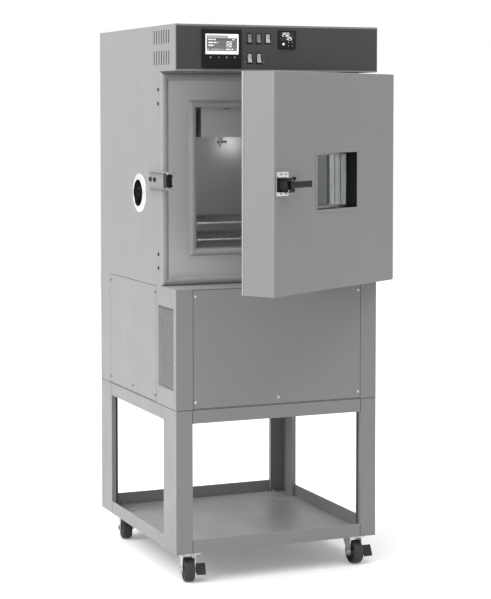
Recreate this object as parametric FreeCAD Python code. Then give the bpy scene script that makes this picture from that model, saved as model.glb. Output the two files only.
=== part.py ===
import FreeCAD, Part
import math
import os

os.makedirs("parts", exist_ok=True)
V = FreeCAD.Vector
RIGHT = V(1, 0, 0)
BACK = V(0, 1, 0)
UP = V(0, 0, 1)
ORIGIN = V(0, 0, 0)

# overall cabinet, floor at Z = 0, front towards -Y
width = 584.0
depth = 625.0
caster_height = 80.0
stand_height = 381.0
base_height = 318.5
body_height = 569.5
head_height = 121.0
body_setback = 114.0
half_w = width / 2
half_d = depth / 2
front_y = -half_d
stand_top = caster_height + stand_height
base_top = stand_top + base_height
body_top = base_top + body_height
head_top = body_top + head_height
face_y = front_y + body_setback

# sheets, bends and clearances
stand_sheet = 2.0
frame_wall = 3.0
deck_sheet = 2.0
panel_sheet = 1.5
liner_sheet = 1.2
sheet_bend = 1.4
seam_gap = 0.7
running_gap = 0.3
hole_gap = 0.35

# screws
screw_head = 3.5
screw_rise = 1.8
screw_shank = 1.8
screw_length = 5.0
dark_head = 5.0
dark_rise = 2.2
dark_shank = 2.5
dark_length = 8.0

# screws of the top cover
lid_screw_edge = 10.0
lid_screw_front = 10.5
lid_screw_left = -97.0
lid_screw_right = 90.0
lid_screw_middle = 218.5
lid_screw_rear = 394.5

# refrigerant lines
line_cross_y = -110.0
discharge_rise = 54.0

# stand
leg_front_flange = 46.4
leg_side_flange = 95.7
leg_bend = 1.8
return_lip = 12.5
rail_height = 36.0
rail_seat = 25.0
tray_lip = 35.5

# casters
swivel_inset_x = 50.0
swivel_inset_y = 57.0
wheel_radius = 31.75
wheel_half = 14.0
wheel_sides = 16
tyre_edge = 3.0
hub_radius = 9.0
hub_half = 15.5
rim_inner = 25.0
disc_half = 5.0
trail = 27.0
plate_thick = 3.0
plate_half_x = 30.0
plate_half_y = 52.5
plate_corner = 8.0
cup_depth = 5.0
cup_radius = 23.0
cup_floor_radius = 19.0
crown_thick = 3.2
kingpin_radius = 5.0
fork_inner = 16.0
fork_wall = 2.5
axle_radius = 3.7
axle_nut = 6.3
axle_nut_thick = 5.0
plate_bolt_x = 12.5
plate_bolt_y = 41.5
bolt_radius = 3.0
bolt_nut = 5.0
bolt_nut_thick = 5.0
bolt_head_thick = 3.8
caster_places = {
    "front_left": (-1, -1, 11.0),
    "front_right": (1, -1, -2.0),
    "rear_left": (-1, 1, 8.5),
    "rear_right": (1, 1, 5.0),
}

# machine compartment
front_panel_margin = 48.4
side_panel_front = 151.0
side_panel_rear = 85.5
panel_margin_z = 3.0
window_margin_z = 31.0
ledge = 18.5
vent_front = 15.3
vent_rear = 137.0
vent_bottom = 49.7
vent_top = 50.5
inlet_x = 150.0
inlet_rise = 69.0

# chamber body and workspace
space_half_x = 191.0
space_floor = 97.5
space_ceiling = 95.3
space_depth = 292.0
foam_behind = 110.0
face_sheet = 1.5
rear_flange = 42.0
space_bottom = base_top + space_floor
space_top = body_top - space_ceiling
space_back = face_y + space_depth
foam_back = space_back + foam_behind
shell_front = face_y + face_sheet
shell_back = half_d - panel_sheet

# plenum under the ceiling of the workspace
plenum_half_x = 165.0
plenum_setback = 28.0
plenum_drop = 79.7
plenum_slot_rows = 9
fan_x = 20.0
fan_back = 158.5
shaft_radius = 5.0
shaft_hole = 8.0
plenum_front = face_y + plenum_setback
plenum_bottom = space_top - plenum_drop
fan_y = face_y + fan_back

# shelves
shelf_rod = 2.5
wire_radius = 1.5
weld_sink = 0.3
shelf_side_gap = 7.5
shelf_setback = 22.5
shelf_depth = 260.0
shelf_bend = 14.0
upper_shelf_rise = 66.0
lower_shelf_rise = 21.0
upper_wire_pitch = 19.0
upper_wire_count = 18
lower_wire_pitch = 22.7
lower_wire_count = 15

# cable port
port_back = 167.5
port_rise = 241.3
port_outer = 38.1
port_inner = 36.5
port_ring = 53.2
port_ring_thick = 3.0
port_inside_ring = 47.0
port_y = face_y + port_back
port_z = base_top + port_rise

# door, drawn shut and then turned to the angle that it stands at
hinge_outset = 15.6
hinge_forward = 4.1
knuckle_radius = 6.5
pin_radius = 3.0
leaf_thick = 3.0
leaf_half = 29.0
hinge_low = 65.5
hinge_high = 66.5
door_rest_angle = 32.25
door_left_gap = 1.7
door_right_gap = 0.3
door_gap = 9.0
door_thick = 99.4
door_bottom_gap = 2.5
door_top_gap = 5.0
door_liner_flange = 5.5
door_bend = 2.5
seam = 1.5
hinge_x = half_w + hinge_outset
hinge_y = face_y - hinge_forward
door_left = -half_w + door_left_gap
door_right = half_w - door_right_gap
door_inner = face_y - door_gap
door_outer = door_inner - door_thick
door_bottom = base_top + door_bottom_gap
door_top = body_top - door_top_gap

# window in the door
window_from_left = 194.7
window_width = 194.8
window_rise = 209.0
window_height = 145.4
sleeve_wall = 3.0
trim_width = 8.0
trim_thick = 1.5
pane_thick = 3.0
first_pane = 28.5
pane_pitch = 18.7
pane_count = 4
window_left = door_left + window_from_left
window_right = window_left + window_width
window_bottom = door_bottom + window_rise
window_top = window_bottom + window_height

# latch on the door and keeper on the body
latch_rise = 282.2
latch_plate_thick = 2.0
latch_pivot_in = 30.0
latch_pivot_out = 18.0
latch_deep = 30.0
handle_reach = 122.0
handle_half = 8.5
handle_thick = 6.0
keeper_below = 21.7
keeper_height = 44.5
keeper_proud = 14.0
keeper_sheet = 2.0
latch_z = base_top + latch_rise
latch_pivot_x = door_left + latch_pivot_in
latch_pivot_y = door_outer - latch_pivot_out
keeper_bottom = latch_z - keeper_below
keeper_top = keeper_bottom + keeper_height

# control head
lid_sheet = 1.5
lid_lip = 9.0
panel_left_margin = 3.0
panel_right_margin = 2.0
panel_bottom_margin = 4.3
panel_top_margin = 5.0
panel_thick = 2.0
panel_lap = 18.0
slot_pitch = 18.5
slot_width = 6.0
slot_first = 48.8
slot_columns = 7
upper_rocker_down = 30.5
lower_rocker_down = 82.5
rocker_half_x = 5.5
rocker_frame_x = 8.0
rocker_frame_z = 14.4
rocker_wall = 1.0
rocker_pin = 1.0
rocker_tilt = 8.0
rocker_inset = 3.0
panel_left = -half_w + panel_left_margin
panel_right = half_w - panel_right_margin
panel_bottom = body_top + panel_bottom_margin
panel_top = head_top - panel_top_margin
upper_rocker_z = panel_top - upper_rocker_down
lower_rocker_z = panel_top - lower_rocker_down
rocker_pivot_y = front_y + rocker_inset
rocker_places = {
    "rocker_upper_left": (-83.7, upper_rocker_z),
    "rocker_upper_middle": (-58.0, upper_rocker_z),
    "rocker_upper_right": (-31.9, upper_rocker_z),
    "rocker_lower_left": (-83.7, lower_rocker_z),
    "rocker_lower_right": (-57.1, lower_rocker_z),
}

# refrigeration set
line_radius = 4.0
compressor_x = -70.0
compressor_y = 60.0
compressor_radius = 72.0
compressor_height = 174.0
coil_in = 34.0
coil_depth = 117.5
coil_bottom_rise = 44.0
coil_top_rise = 274.0
coil_half = 21.0
fin_thick = 1.0
condenser_fins = 5
blower_in = 75.0
blower_back = 73.5
blower_rise = 159.0
line_y = 255.0
evaporator_rise = 48.0
evaporator_left = -140.0
evaporator_right = compressor_x
evaporator_fins = 5
coil_x = -half_w + coil_in
coil_front = front_y + vent_front
coil_back = coil_front + coil_depth
blower_x = -half_w + blower_in
blower_y = front_y + blower_back
blower_z = stand_top + blower_rise
evaporator_z = plenum_bottom + evaporator_rise


def box(x0, x1, y0, y1, z0, z1):
    """Axis-parallel block between two corners, given in either order."""
    low = V(min(x0, x1), min(y0, y1), min(z0, z1))
    return Part.makeBox(abs(x1 - x0), abs(y1 - y0), abs(z1 - z0), low)


def rod(start, end, radius):
    """Round bar between two points."""
    axis = end - start
    return Part.makeCylinder(radius, axis.Length, start, axis)


def polygon(points):
    """Flat face with straight edges."""
    return Part.Face(Part.makePolygon(points + [points[0]]))


def prism(points, axis, start, end):
    """Polygon given in the plane across an axis, drawn out along it."""
    if axis == "x":
        corners = [V(start, a, b) for a, b in points]
        step = V(end - start, 0, 0)
    elif axis == "y":
        corners = [V(a, start, b) for a, b in points]
        step = V(0, end - start, 0)
    else:
        corners = [V(a, b, start) for a, b in points]
        step = V(0, 0, end - start)
    return polygon(corners).extrude(step)


def cut_corners(x0, x1, z0, z1, cut):
    """Outline of a rectangle with its four corners cut off."""
    return [
        (x0 + cut, z0), (x1 - cut, z0), (x1, z0 + cut), (x1, z1 - cut),
        (x1 - cut, z1), (x0 + cut, z1), (x0, z1 - cut), (x0, z0 + cut),
    ]


def turned(profile, sides):
    """Turned shape with flat sides, from (half width across flats, height) pairs; axis on Z."""
    outer = 1 / math.cos(math.pi / sides)
    rings = []
    for radius, height in profile:
        ring = []
        for side in range(sides):
            angle = (side + 0.5) * 2 * math.pi / sides
            ring.append(V(outer * radius * math.cos(angle), outer * radius * math.sin(angle), height))
        rings.append(ring)
    faces = [polygon(rings[0]), polygon(rings[-1])]
    for low, high in zip(rings, rings[1:]):
        for side in range(sides):
            after = (side + 1) % sides
            faces.append(polygon([low[side], low[after], high[after], high[side]]))
    solid = Part.Solid(Part.Shell(faces))
    if solid.Volume < 0:
        solid.reverse()
    return solid


def bar(at, direction, radius, length, sides=6):
    """Flat-sided bar for small bolts, pins and their holes, starting at a point."""
    shape = turned([(radius, 0), (radius, length)], sides)
    shape.Placement = FreeCAD.Placement(at, FreeCAD.Rotation(UP, direction))
    return shape


def aimed(shape, at, direction):
    """Put a shape drawn on Z at a point, with its axis along a direction."""
    shape.Placement = FreeCAD.Placement(at, FreeCAD.Rotation(UP, direction))
    return shape


def tube(points, radius, bend=0.0, up=UP, sides=6):
    """Flat-sided tube along a path with eased corners; it closes if the path ends at its start."""
    closed = (points[0] - points[-1]).Length < 0.001
    path = [points[0]]
    for before, corner, after in zip(points, points[1:], points[2:]):
        if bend > 0:
            path.append(corner + (before - corner).normalize() * bend)
            path.append(corner + (after - corner).normalize() * bend)
        else:
            path.append(corner)
    path.append(points[-1])
    heading = (path[1] - path[0]).normalize()
    across = heading.cross(up).normalize()
    rise = across.cross(heading).normalize()
    ring = []
    for side in range(sides):
        angle = 2 * math.pi * side / sides
        ring.append(path[0] + across * (radius * math.cos(angle)) + rise * (radius * math.sin(angle)))
    rings = [ring]
    for index in range(1, len(path)):
        heading = (path[index] - path[index - 1]).normalize()
        facing = heading
        if index < len(path) - 1:
            facing = heading + (path[index + 1] - path[index]).normalize()
        ring = [p + heading * ((path[index] - p).dot(facing) / heading.dot(facing)) for p in ring]
        rings.append(ring)
    if closed:
        rings[-1] = rings[0]
    faces = []
    if not closed:
        faces = [polygon(rings[0]), polygon(rings[-1])]
    for first, last in zip(rings, rings[1:]):
        for side in range(sides):
            after = (side + 1) % sides
            faces.append(polygon([first[side], first[after], last[after], last[side]]))
    solid = Part.Solid(Part.Shell(faces))
    if solid.Volume < 0:
        solid.reverse()
    return solid


def fuse_all(shapes):
    """One solid from pieces that overlap or touch."""
    return shapes[0].multiFuse(shapes[1:]).removeSplitter()


def cut_all(shape, tools):
    """Shape with every tool taken away in one step."""
    return shape.cut(Part.makeCompound(tools))


def screw(at, direction, head, rise, shank, length):
    """Flat-sided pan-head screw: its head stands on the face and its square shank goes in."""
    top = turned([(head, 0), (0.75 * head, rise)], 6)
    stem = turned([(shank, -length), (shank, 0)], 4)
    return aimed(top.fuse(stem), at, direction)


def screw_hole(at, direction, shank, length):
    """Square hole that clears a screw's shank all round and at its end."""
    return aimed(turned([(shank + hole_gap, -length - hole_gap), (shank + hole_gap, 1)], 4), at, direction)


def save(name, shapes):
    """Write one node as STEP."""
    if not isinstance(shapes, list):
        shapes = [shapes]
    Part.makeCompound(shapes).exportStep("parts/" + name + ".step")


def mirrored(shape, left, front):
    """Copy of a front-left piece on another corner."""
    if not left:
        shape = shape.mirror(ORIGIN, RIGHT)
    if not front:
        shape = shape.mirror(ORIGIN, BACK)
    return shape


def opened(shape):
    """Turn a piece of the shut door to the angle that the door stands at."""
    return shape.rotate(V(hinge_x, hinge_y, 0), UP, door_rest_angle)


corners = [(True, True), (False, True), (True, False), (False, False)]


# stand: four formed legs
def front_left_leg():
    x0 = -half_w
    x1 = x0 + leg_front_flange
    y1 = front_y + leg_side_flange
    t = stand_sheet
    outline = [
        (x0, front_y), (x1, front_y), (x1, front_y + return_lip), (x1 - t, front_y + return_lip),
        (x1 - t, front_y + t), (x0 + t, front_y + t), (x0 + t, y1 - t), (x0 + return_lip, y1 - t),
        (x0 + return_lip, y1), (x0, y1),
    ]
    leg = prism(outline, "z", caster_height, stand_top)
    bends = []
    for edge in leg.Edges:
        a = edge.Vertexes[0].Point
        b = edge.Vertexes[-1].Point
        if abs(a.z - b.z) > 1 and abs(a.x - x0) < 0.01 and abs(a.y - front_y) < 0.01:
            bends.append(edge)
    return leg.makeFillet(leg_bend, bends)


legs = [mirrored(front_left_leg(), left, front) for left, front in corners]

# stand: top rails, folded at top and bottom, between the legs
rail_bottom = stand_top - rail_height
rail_x = half_w - leg_front_flange
rail_y = half_d - leg_side_flange
t = stand_sheet
rail_section = [
    (0, rail_bottom), (return_lip, rail_bottom), (return_lip, rail_bottom + t), (t, rail_bottom + t),
    (t, stand_top - t), (rail_seat, stand_top - t), (rail_seat, stand_top), (0, stand_top),
]
front_rail = prism([(front_y + a, z) for a, z in rail_section], "x", -rail_x, rail_x)
side_rail = prism([(a - half_w, z) for a, z in rail_section], "y", -rail_y, rail_y)
rails = [front_rail, front_rail.mirror(ORIGIN, BACK), side_rail, side_rail.mirror(ORIGIN, RIGHT)]
save("stand_frame", legs + rails)

# stand: tray with four upturned lips between the legs
tray_top = caster_height + stand_sheet
lip_top = caster_height + tray_lip
tray = fuse_all([
    box(-half_w, half_w, front_y, half_d, caster_height, tray_top),
    box(-rail_x, rail_x, front_y, front_y + t, caster_height, lip_top),
    box(-rail_x, rail_x, half_d - t, half_d, caster_height, lip_top),
    box(-half_w, -half_w + t, -rail_y, rail_y, caster_height, lip_top),
    box(half_w - t, half_w, -rail_y, rail_y, caster_height, lip_top),
])
swivels = {}
bolt_places = []
for name, (side, end, heading) in caster_places.items():
    centre = V(side * (half_w - swivel_inset_x), end * (half_d - swivel_inset_y), 0)
    swivels[name] = centre
    for dx in (-plate_bolt_x, plate_bolt_x):
        for dy in (-plate_bolt_y, plate_bolt_y):
            bolt_places.append(centre + V(dx, dy, 0))
plate_bottom = caster_height - plate_thick
bolt_hole_length = plate_thick + stand_sheet + 2
bolt_holes = []
for p in bolt_places:
    bolt_holes.append(bar(p + V(0, 0, plate_bottom - 1), UP, bolt_radius + hole_gap, bolt_hole_length, 4))
leg_ends = []
for left, front in corners:
    corner = box(-half_w, -half_w + 2 * t, front_y, front_y + 2 * t, caster_height, tray_top)
    leg_ends.append(mirrored(corner, left, front))
save("stand_tray", cut_all(tray, legs + leg_ends + bolt_holes))

# casters: fixed top plates with a bearing cup, and their square-necked bolts
race_bottom = plate_bottom - cup_depth
plates = []
for centre in swivels.values():
    outline = cut_corners(-plate_half_x, plate_half_x, -plate_half_y, plate_half_y, plate_corner)
    plate = prism(outline, "z", plate_bottom, caster_height).translate(centre)
    cup = turned([(cup_floor_radius, race_bottom), (cup_radius, plate_bottom)], 12).translate(centre)
    socket = bar(centre + V(0, 0, race_bottom - 1), UP, kingpin_radius + running_gap, cup_depth + 1, 8)
    plate_centre = centre + V(0, 0, caster_height)
    near_holes = [h for h in bolt_holes if (h.CenterOfMass - plate_centre).Length < plate_half_y]
    plates.append(cut_all(fuse_all([plate, cup]), [socket] + near_holes))
for p in bolt_places:
    head = bar(p + V(0, 0, plate_bottom - bolt_head_thick), UP, bolt_nut, bolt_head_thick)
    neck = bar(p + V(0, 0, plate_bottom), UP, bolt_radius, plate_thick + stand_sheet, 4)
    nut = bar(p + V(0, 0, tray_top), UP, bolt_nut, bolt_nut_thick)
    plates.append(fuse_all([head, neck, nut]))
save("caster_plates", plates)

# casters: drawn with the swivel axis on Z and the wheel trailing towards -Y
crown_top = race_bottom - running_gap
crown_bottom = crown_top - crown_thick
fork_outer = fork_inner + fork_wall
axle_y = -trail
axle_z = wheel_radius


def place_caster(shape, name):
    heading = caster_places[name][2]
    turned_shape = shape.rotate(ORIGIN, UP, -heading)
    return turned_shape.translate(swivels[name])


def caster_fork():
    crown = turned([(cup_radius, crown_bottom), (cup_radius, crown_top)], 12)
    reach = trail + hub_radius
    bridge = box(-fork_outer, fork_outer, -reach, 0, crown_bottom, crown_top)
    cheek = [
        (10, crown_top), (-reach, crown_top), (axle_y - 9, axle_z), (axle_y - 6.4, axle_z - 6.4),
        (axle_y, axle_z - 9), (axle_y + 6.4, axle_z - 6.4), (axle_y + 9, axle_z),
    ]
    cheeks = [prism(cheek, "x", side * fork_inner, side * fork_outer) for side in (-1, 1)]
    kingpin = Part.makeCylinder(kingpin_radius, cup_depth - running_gap, V(0, 0, crown_top))
    fork = fuse_all([crown, bridge, kingpin] + cheeks)
    bore = bar(V(-fork_outer - 1, axle_y, axle_z), RIGHT, axle_radius + hole_gap, 2 * fork_outer + 2, 8)
    window = box(-fork_inner, fork_inner, -reach - 4, -13, crown_bottom - 1, crown_top - 1.2)
    return cut_all(fork, [bore, window])


def caster_axle(reach):
    shank = rod(V(-fork_outer, axle_y, axle_z), V(reach, axle_y, axle_z), axle_radius)
    nut = bar(V(-fork_outer - axle_nut_thick, axle_y, axle_z), RIGHT, axle_nut, axle_nut_thick)
    head = bar(V(reach, axle_y, axle_z), RIGHT, axle_nut, axle_nut_thick - 1)
    return fuse_all([nut, shank, head])


def caster_wheel():
    tyre = wheel_radius - tyre_edge
    half = [
        (rim_inner, disc_half), (rim_inner, wheel_half), (tyre, wheel_half),
        (wheel_radius, wheel_half - tyre_edge),
    ]
    profile = [(hub_radius, -hub_half), (hub_radius, -disc_half)]
    profile += [(radius, -x) for radius, x in half]
    profile += list(reversed(half))
    profile += [(hub_radius, disc_half), (hub_radius, hub_half)]
    wheel = turned(profile, wheel_sides)
    wheel = wheel.cut(bar(V(0, 0, -2 * wheel_half), UP, axle_radius + running_gap, 4 * wheel_half, 8))
    return wheel.rotate(ORIGIN, BACK, 90).translate(V(0, axle_y, axle_z))


def brake_lever():
    x0 = fork_outer + 2 * running_gap
    x1 = x0 + 2
    arm = prism([
        (axle_y - 9, axle_z - 3), (axle_y - 3, axle_z - 9), (axle_y + 5, axle_z - 8), (axle_y + 9, axle_z),
        (axle_y + 5, axle_z + 8), (axle_y - 11, axle_z + 16), (axle_y - 24, axle_z - 11),
    ], "x", x0, x1)
    blade = prism([
        (axle_y - 6, axle_z + 15), (axle_y - 6, axle_z + 17), (axle_y - 12, axle_z + 17),
        (axle_y - 25, axle_z - 10), (axle_y - 23, axle_z - 11), (axle_y - 11, axle_z + 15),
    ], "x", x0, x0 + 24)
    bore = bar(V(x0 - 1, axle_y, axle_z), RIGHT, axle_radius + running_gap, x1 - x0 + 2, 8)
    return fuse_all([arm, blade]).cut(bore)


for name in caster_places:
    braked = name.startswith("front")
    reach = fork_outer + 3.2 if braked else fork_outer
    save("caster_fork_" + name, [place_caster(caster_fork(), name), place_caster(caster_axle(reach), name)])
    save("caster_wheel_" + name, place_caster(caster_wheel(), name))
    if braked:
        save("brake_lever_" + name, place_caster(brake_lever(), name))

# machine compartment: floor, deck, sills, heads and corner posts, joggled where the covers lie
panel_x = half_w - front_panel_margin
side_y0 = front_y + side_panel_front
side_y1 = half_d - side_panel_rear
panel_z0 = stand_top + panel_margin_z
panel_z1 = base_top - panel_margin_z
window_z0 = stand_top + window_margin_z
window_z1 = base_top - window_margin_z
vent_y0 = front_y + vent_front
vent_y1 = front_y + vent_rear
vent_z0 = stand_top + vent_bottom
vent_z1 = base_top - vent_top
frame = box(-half_w, half_w, front_y, half_d, stand_top, base_top)
uprights = [e for e in frame.Edges if abs(e.Vertexes[0].Z - e.Vertexes[-1].Z) > 1]
frame = frame.makeFillet(sheet_bend, uprights)
frame_tools = [box(
    -half_w + frame_wall, half_w - frame_wall, front_y + frame_wall, half_d - frame_wall,
    stand_top + deck_sheet, base_top - deck_sheet,
)]
z0 = panel_z0 - seam_gap
z1 = panel_z1 + seam_gap
for end in (-1, 1):
    y = end * half_d
    frame_tools.append(box(-panel_x - seam_gap, panel_x + seam_gap, y, y - end * panel_sheet, z0, z1))
    window_depth_y = y - end * 2 * frame_wall
    frame_tools.append(box(-panel_x + ledge, panel_x - ledge, y, window_depth_y, window_z0, window_z1))
for side in (-1, 1):
    x = side * half_w
    frame_tools.append(box(x, x - side * panel_sheet, side_y0 - seam_gap, side_y1 + seam_gap, z0, z1))
    window_depth_x = x - side * 2 * frame_wall
    frame_tools.append(box(x, window_depth_x, side_y0 + ledge, side_y1 - ledge, window_z0, window_z1))
    frame_tools.append(box(
        x, x - side * panel_sheet, vent_y0 - running_gap, vent_y1 + running_gap,
        vent_z0 - running_gap, vent_z1 + running_gap,
    ))
    frame_tools.append(box(
        x, x - side * 2 * frame_wall, vent_y0 + frame_wall, vent_y1 - frame_wall,
        vent_z0 + frame_wall, vent_z1 - frame_wall,
    ))
pipe_hole = line_radius + 2
for line_x in (evaporator_left, evaporator_right):
    frame_tools.append(bar(V(line_x, line_y, base_top - 2 * deck_sheet), UP, pipe_hole, 3 * deck_sheet))

# screws of the covers, each with its hole
panel_screws = []
screw_holes = []


def add_screw(at, direction):
    panel_screws.append(screw(at, direction, screw_head, screw_rise, screw_shank, screw_length))
    screw_holes.append(screw_hole(at, direction, screw_shank, screw_length))


screw_low = panel_z0 + 17.0
screw_high = panel_z1 - 16.5
screw_edge = 6.3
for x, z in ((-1, screw_high), (1, screw_high), (-1, screw_low), (0, screw_low), (1, screw_low)):
    add_screw(V(x * (panel_x - screw_edge), front_y, z), -BACK)
for x, z in ((-1, screw_high), (1, screw_high), (-1, screw_low), (1, screw_low)):
    add_screw(V(x * (panel_x - screw_edge), half_d, z), BACK)
side_screw_y0 = side_y0 + screw_edge
side_screw_y1 = side_y1 - 2 * screw_edge
for side in (-1, 1):
    for y, z in (
        (side_screw_y0, screw_high), (side_screw_y1, screw_high), (side_screw_y0, screw_low),
        ((side_screw_y0 + side_screw_y1) / 2, screw_low), (side_screw_y1, screw_low),
    ):
        add_screw(V(side * half_w, y, z), V(side, 0, 0))
base_holes = list(screw_holes)
frame = cut_all(frame, frame_tools + base_holes)
strips = [
    (-half_w, half_w, front_y, front_y + frame_wall), (-half_w, half_w, half_d - frame_wall, half_d),
    (-half_w, -half_w + frame_wall, front_y + frame_wall, half_d - frame_wall),
    (half_w - frame_wall, half_w, front_y + frame_wall, half_d - frame_wall),
]
whole = (-half_w, half_w, front_y, half_d)
cells = [(whole, stand_top, stand_top + deck_sheet), (whole, base_top - deck_sheet, base_top)]
cells.append((whole, window_z0, window_z1))
for strip in strips:
    cells += [(strip, stand_top + deck_sheet, window_z0), (strip, window_z1, base_top - deck_sheet)]
frame_parts = []
for (x0, x1, y0, y1), low, high in cells:
    frame_parts += frame.common(box(x0, x1, y0, y1, low, high)).Solids
save("base_frame", frame_parts)

# machine compartment: vent screens set flush in the front corners, over their windows
screens = []
for side in (-1, 1):
    x = side * half_w
    screens.append(box(x, x - side * panel_sheet, vent_y0, vent_y1, vent_z0, vent_z1))
save("vent_screens", screens)

# machine compartment: flat covers lying in the joggles
front_panel = box(-panel_x, panel_x, front_y, front_y + panel_sheet, panel_z0, panel_z1)
rear_panel = box(-panel_x, panel_x, half_d - panel_sheet, half_d, panel_z0, panel_z1)
inlet_half_x = 23.8
inlet_half_z = 13.8
inlet_z = stand_top + inlet_rise
inlet_cut = box(
    inlet_x - inlet_half_x - hole_gap, inlet_x + inlet_half_x + hole_gap, half_d - 5, half_d + 5,
    inlet_z - inlet_half_z - hole_gap, inlet_z + inlet_half_z + hole_gap,
)
covers = [cut_all(front_panel, base_holes), cut_all(rear_panel, base_holes + [inlet_cut])]
for side in (-1, 1):
    x = side * half_w
    covers.append(cut_all(box(x, x - side * panel_sheet, side_y0, side_y1, panel_z0, panel_z1), base_holes))

# power inlet in the rear cover
flange = prism(
    cut_corners(inlet_x - 29, inlet_x + 29, inlet_z - 17, inlet_z + 17, 4), "y", half_d, half_d + 2.5
)
shroud = box(
    inlet_x - inlet_half_x, inlet_x + inlet_half_x, half_d - 22, half_d,
    inlet_z - inlet_half_z, inlet_z + inlet_half_z,
)
well = box(inlet_x - 12.5, inlet_x + 12.5, half_d - 19, half_d + 5, inlet_z - 8.5, inlet_z + 8.5)
inlet = fuse_all([flange, shroud]).cut(well)
blades = []
for dx, dz in ((-7, -2), (7, -2), (0, 3)):
    x = inlet_x + dx
    z = inlet_z + dz
    blades.append(box(x - 1, x + 1, half_d - 19.5, half_d - 3, z - 2.5, z + 2.5))
save("power_inlet", fuse_all([inlet] + blades))

# compressor: sealed can on a foot plate, with its terminal cover
deck = stand_top + deck_sheet
can_floor = deck + 3.5
can_top = can_floor + compressor_height
r = compressor_radius
can = turned([
    (0.8 * r, can_floor), (r, can_floor + 30), (r, can_top - 45), (0.9 * r, can_top - 20),
    (0.6 * r, can_top - 6), (0.2 * r, can_top),
], 20)
compressor = fuse_all([
    can, turned([(r + 3, can_floor + 78), (r + 3, can_floor + 82)], 20),
    prism(cut_corners(-r - 23, r + 23, -r - 3, r + 3, 12), "z", deck, can_floor),
    bar(V(0, 0, can_top - 5), UP, 1.5 * line_radius, 11),
    bar(V(0, 12 - r, can_floor + 54), -BACK, 1.5 * line_radius, 20),
    box(r - 12, r + 12, -18, 18, can_floor + 34, can_floor + 68),
])
save("compressor", compressor.translate(V(compressor_x, compressor_y, 0)))

# condenser: finned coil behind the perforated screen, with its shroud and the fan's motor
coil_z0 = stand_top + coil_bottom_rise
coil_z1 = stand_top + coil_top_rise
coil_pass = (coil_z1 - coil_z0) / 4
passes = [coil_z0 + coil_pass * (index + 0.5) for index in range(4)]
turn_y = coil_front - 5.5
stub_y = coil_back + 5
serpentine = [
    V(coil_x, stub_y, passes[0]), V(coil_x, turn_y, passes[0]), V(coil_x, turn_y, passes[1]),
    V(coil_x, stub_y, passes[1]), V(coil_x, stub_y, passes[2]), V(coil_x, turn_y, passes[2]),
    V(coil_x, turn_y, passes[3]), V(coil_x, stub_y, passes[3]),
]
coil_parts = [tube(serpentine, line_radius, 8, RIGHT)]
coil_left = coil_x - coil_half
coil_right = coil_x + coil_half
fin_pitch = (coil_depth - 12) / (condenser_fins - 1)
for index in range(condenser_fins):
    y = coil_front + 6 + fin_pitch * index - fin_thick / 2
    coil_parts.append(box(coil_left, coil_right, y, y + fin_thick, coil_z0, coil_z1))
for y in (coil_front, coil_back - panel_sheet):
    coil_parts.append(box(coil_left, coil_right + panel_sheet, y, y + panel_sheet, deck, coil_z1 + 2))
shroud = box(coil_right, coil_right + panel_sheet, coil_front, coil_back, deck, coil_z1 + 2)
throat = turned([(57, -10), (57, 10)], 20)
shroud = shroud.cut(aimed(throat, V(coil_right, blower_y, blower_z), RIGHT))
coil_parts.append(shroud)
coil_parts.append(box(coil_left, coil_right + panel_sheet, coil_front, coil_back, deck, deck + panel_sheet))
fan_shaft = 3.0
motor = aimed(turned([(22, 0), (22, 50)], 12), V(blower_x + 17, blower_y, blower_z), RIGHT)
arms = []
for dz in (-61.5, 61.5):
    z = blower_z + dz
    arms.append(box(coil_right + panel_sheet, blower_x + 45, blower_y - 3, blower_y + 3, z - 1.5, z + 1.5))
    reach_z = blower_z + 20 if dz > 0 else blower_z - 20
    arms.append(box(blower_x + 42, blower_x + 45, blower_y - 3, blower_y + 3, z, reach_z))
motor = fuse_all([motor] + arms)
motor_bore = 20.0
bore_start = V(blower_x + 16, blower_y, blower_z)
motor = motor.cut(bar(bore_start, RIGHT, fan_shaft + running_gap, motor_bore + 1, 8))
save("condenser", [fuse_all(coil_parts), motor])

# condenser fan: hub, five pitched blades and the shaft that runs in the motor
blower = [turned([(12, -9), (12, 9)], 10)]
for index in range(5):
    blade = box(11, 53, -12, 12, -0.8, 0.8)
    blade.rotate(ORIGIN, RIGHT, 32)
    blower.append(blade.rotate(ORIGIN, UP, 72.0 * index))
blower.append(Part.makeCylinder(fan_shaft, 8 + motor_bore - running_gap, V(0, 0, 9)))
blower = fuse_all(blower).rotate(ORIGIN, BACK, 90)
save("condenser_fan", blower.translate(V(blower_x, blower_y, blower_z)))

# refrigerant lines through the deck and the rear bay to the evaporator
line_bend = 9.0
stub_end = space_back - 9.5
high_run = base_top - 59.5
lines = [
    tube([
        V(compressor_x, compressor_y, can_top + 6), V(compressor_x, compressor_y, high_run),
        V(compressor_x, line_y, high_run), V(compressor_x, line_y, evaporator_z),
        V(compressor_x, stub_end, evaporator_z),
    ], line_radius, line_bend, RIGHT),
    tube([
        V(coil_x, stub_y, passes[3]), V(coil_x, line_y, passes[3]), V(evaporator_left, line_y, passes[3]),
        V(evaporator_left, line_y, evaporator_z), V(evaporator_left, stub_end, evaporator_z),
    ], line_radius, line_bend, UP),
    tube([
        V(compressor_x, compressor_y - r - 8, can_floor + discharge_rise),
        V(compressor_x, line_cross_y, can_floor + discharge_rise),
        V(coil_x, line_cross_y, passes[0]), V(coil_x, stub_y, passes[0]),
    ], line_radius, line_bend, UP),
]
save("refrigerant_lines", lines)

# chamber body: painted wrapper of four sheets and a rear frame, open at the front
wall = panel_sheet
inner_x = half_w - wall
shell_low = base_top + wall
shell_high = body_top - wall
flange_y = shell_back - wall


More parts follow.
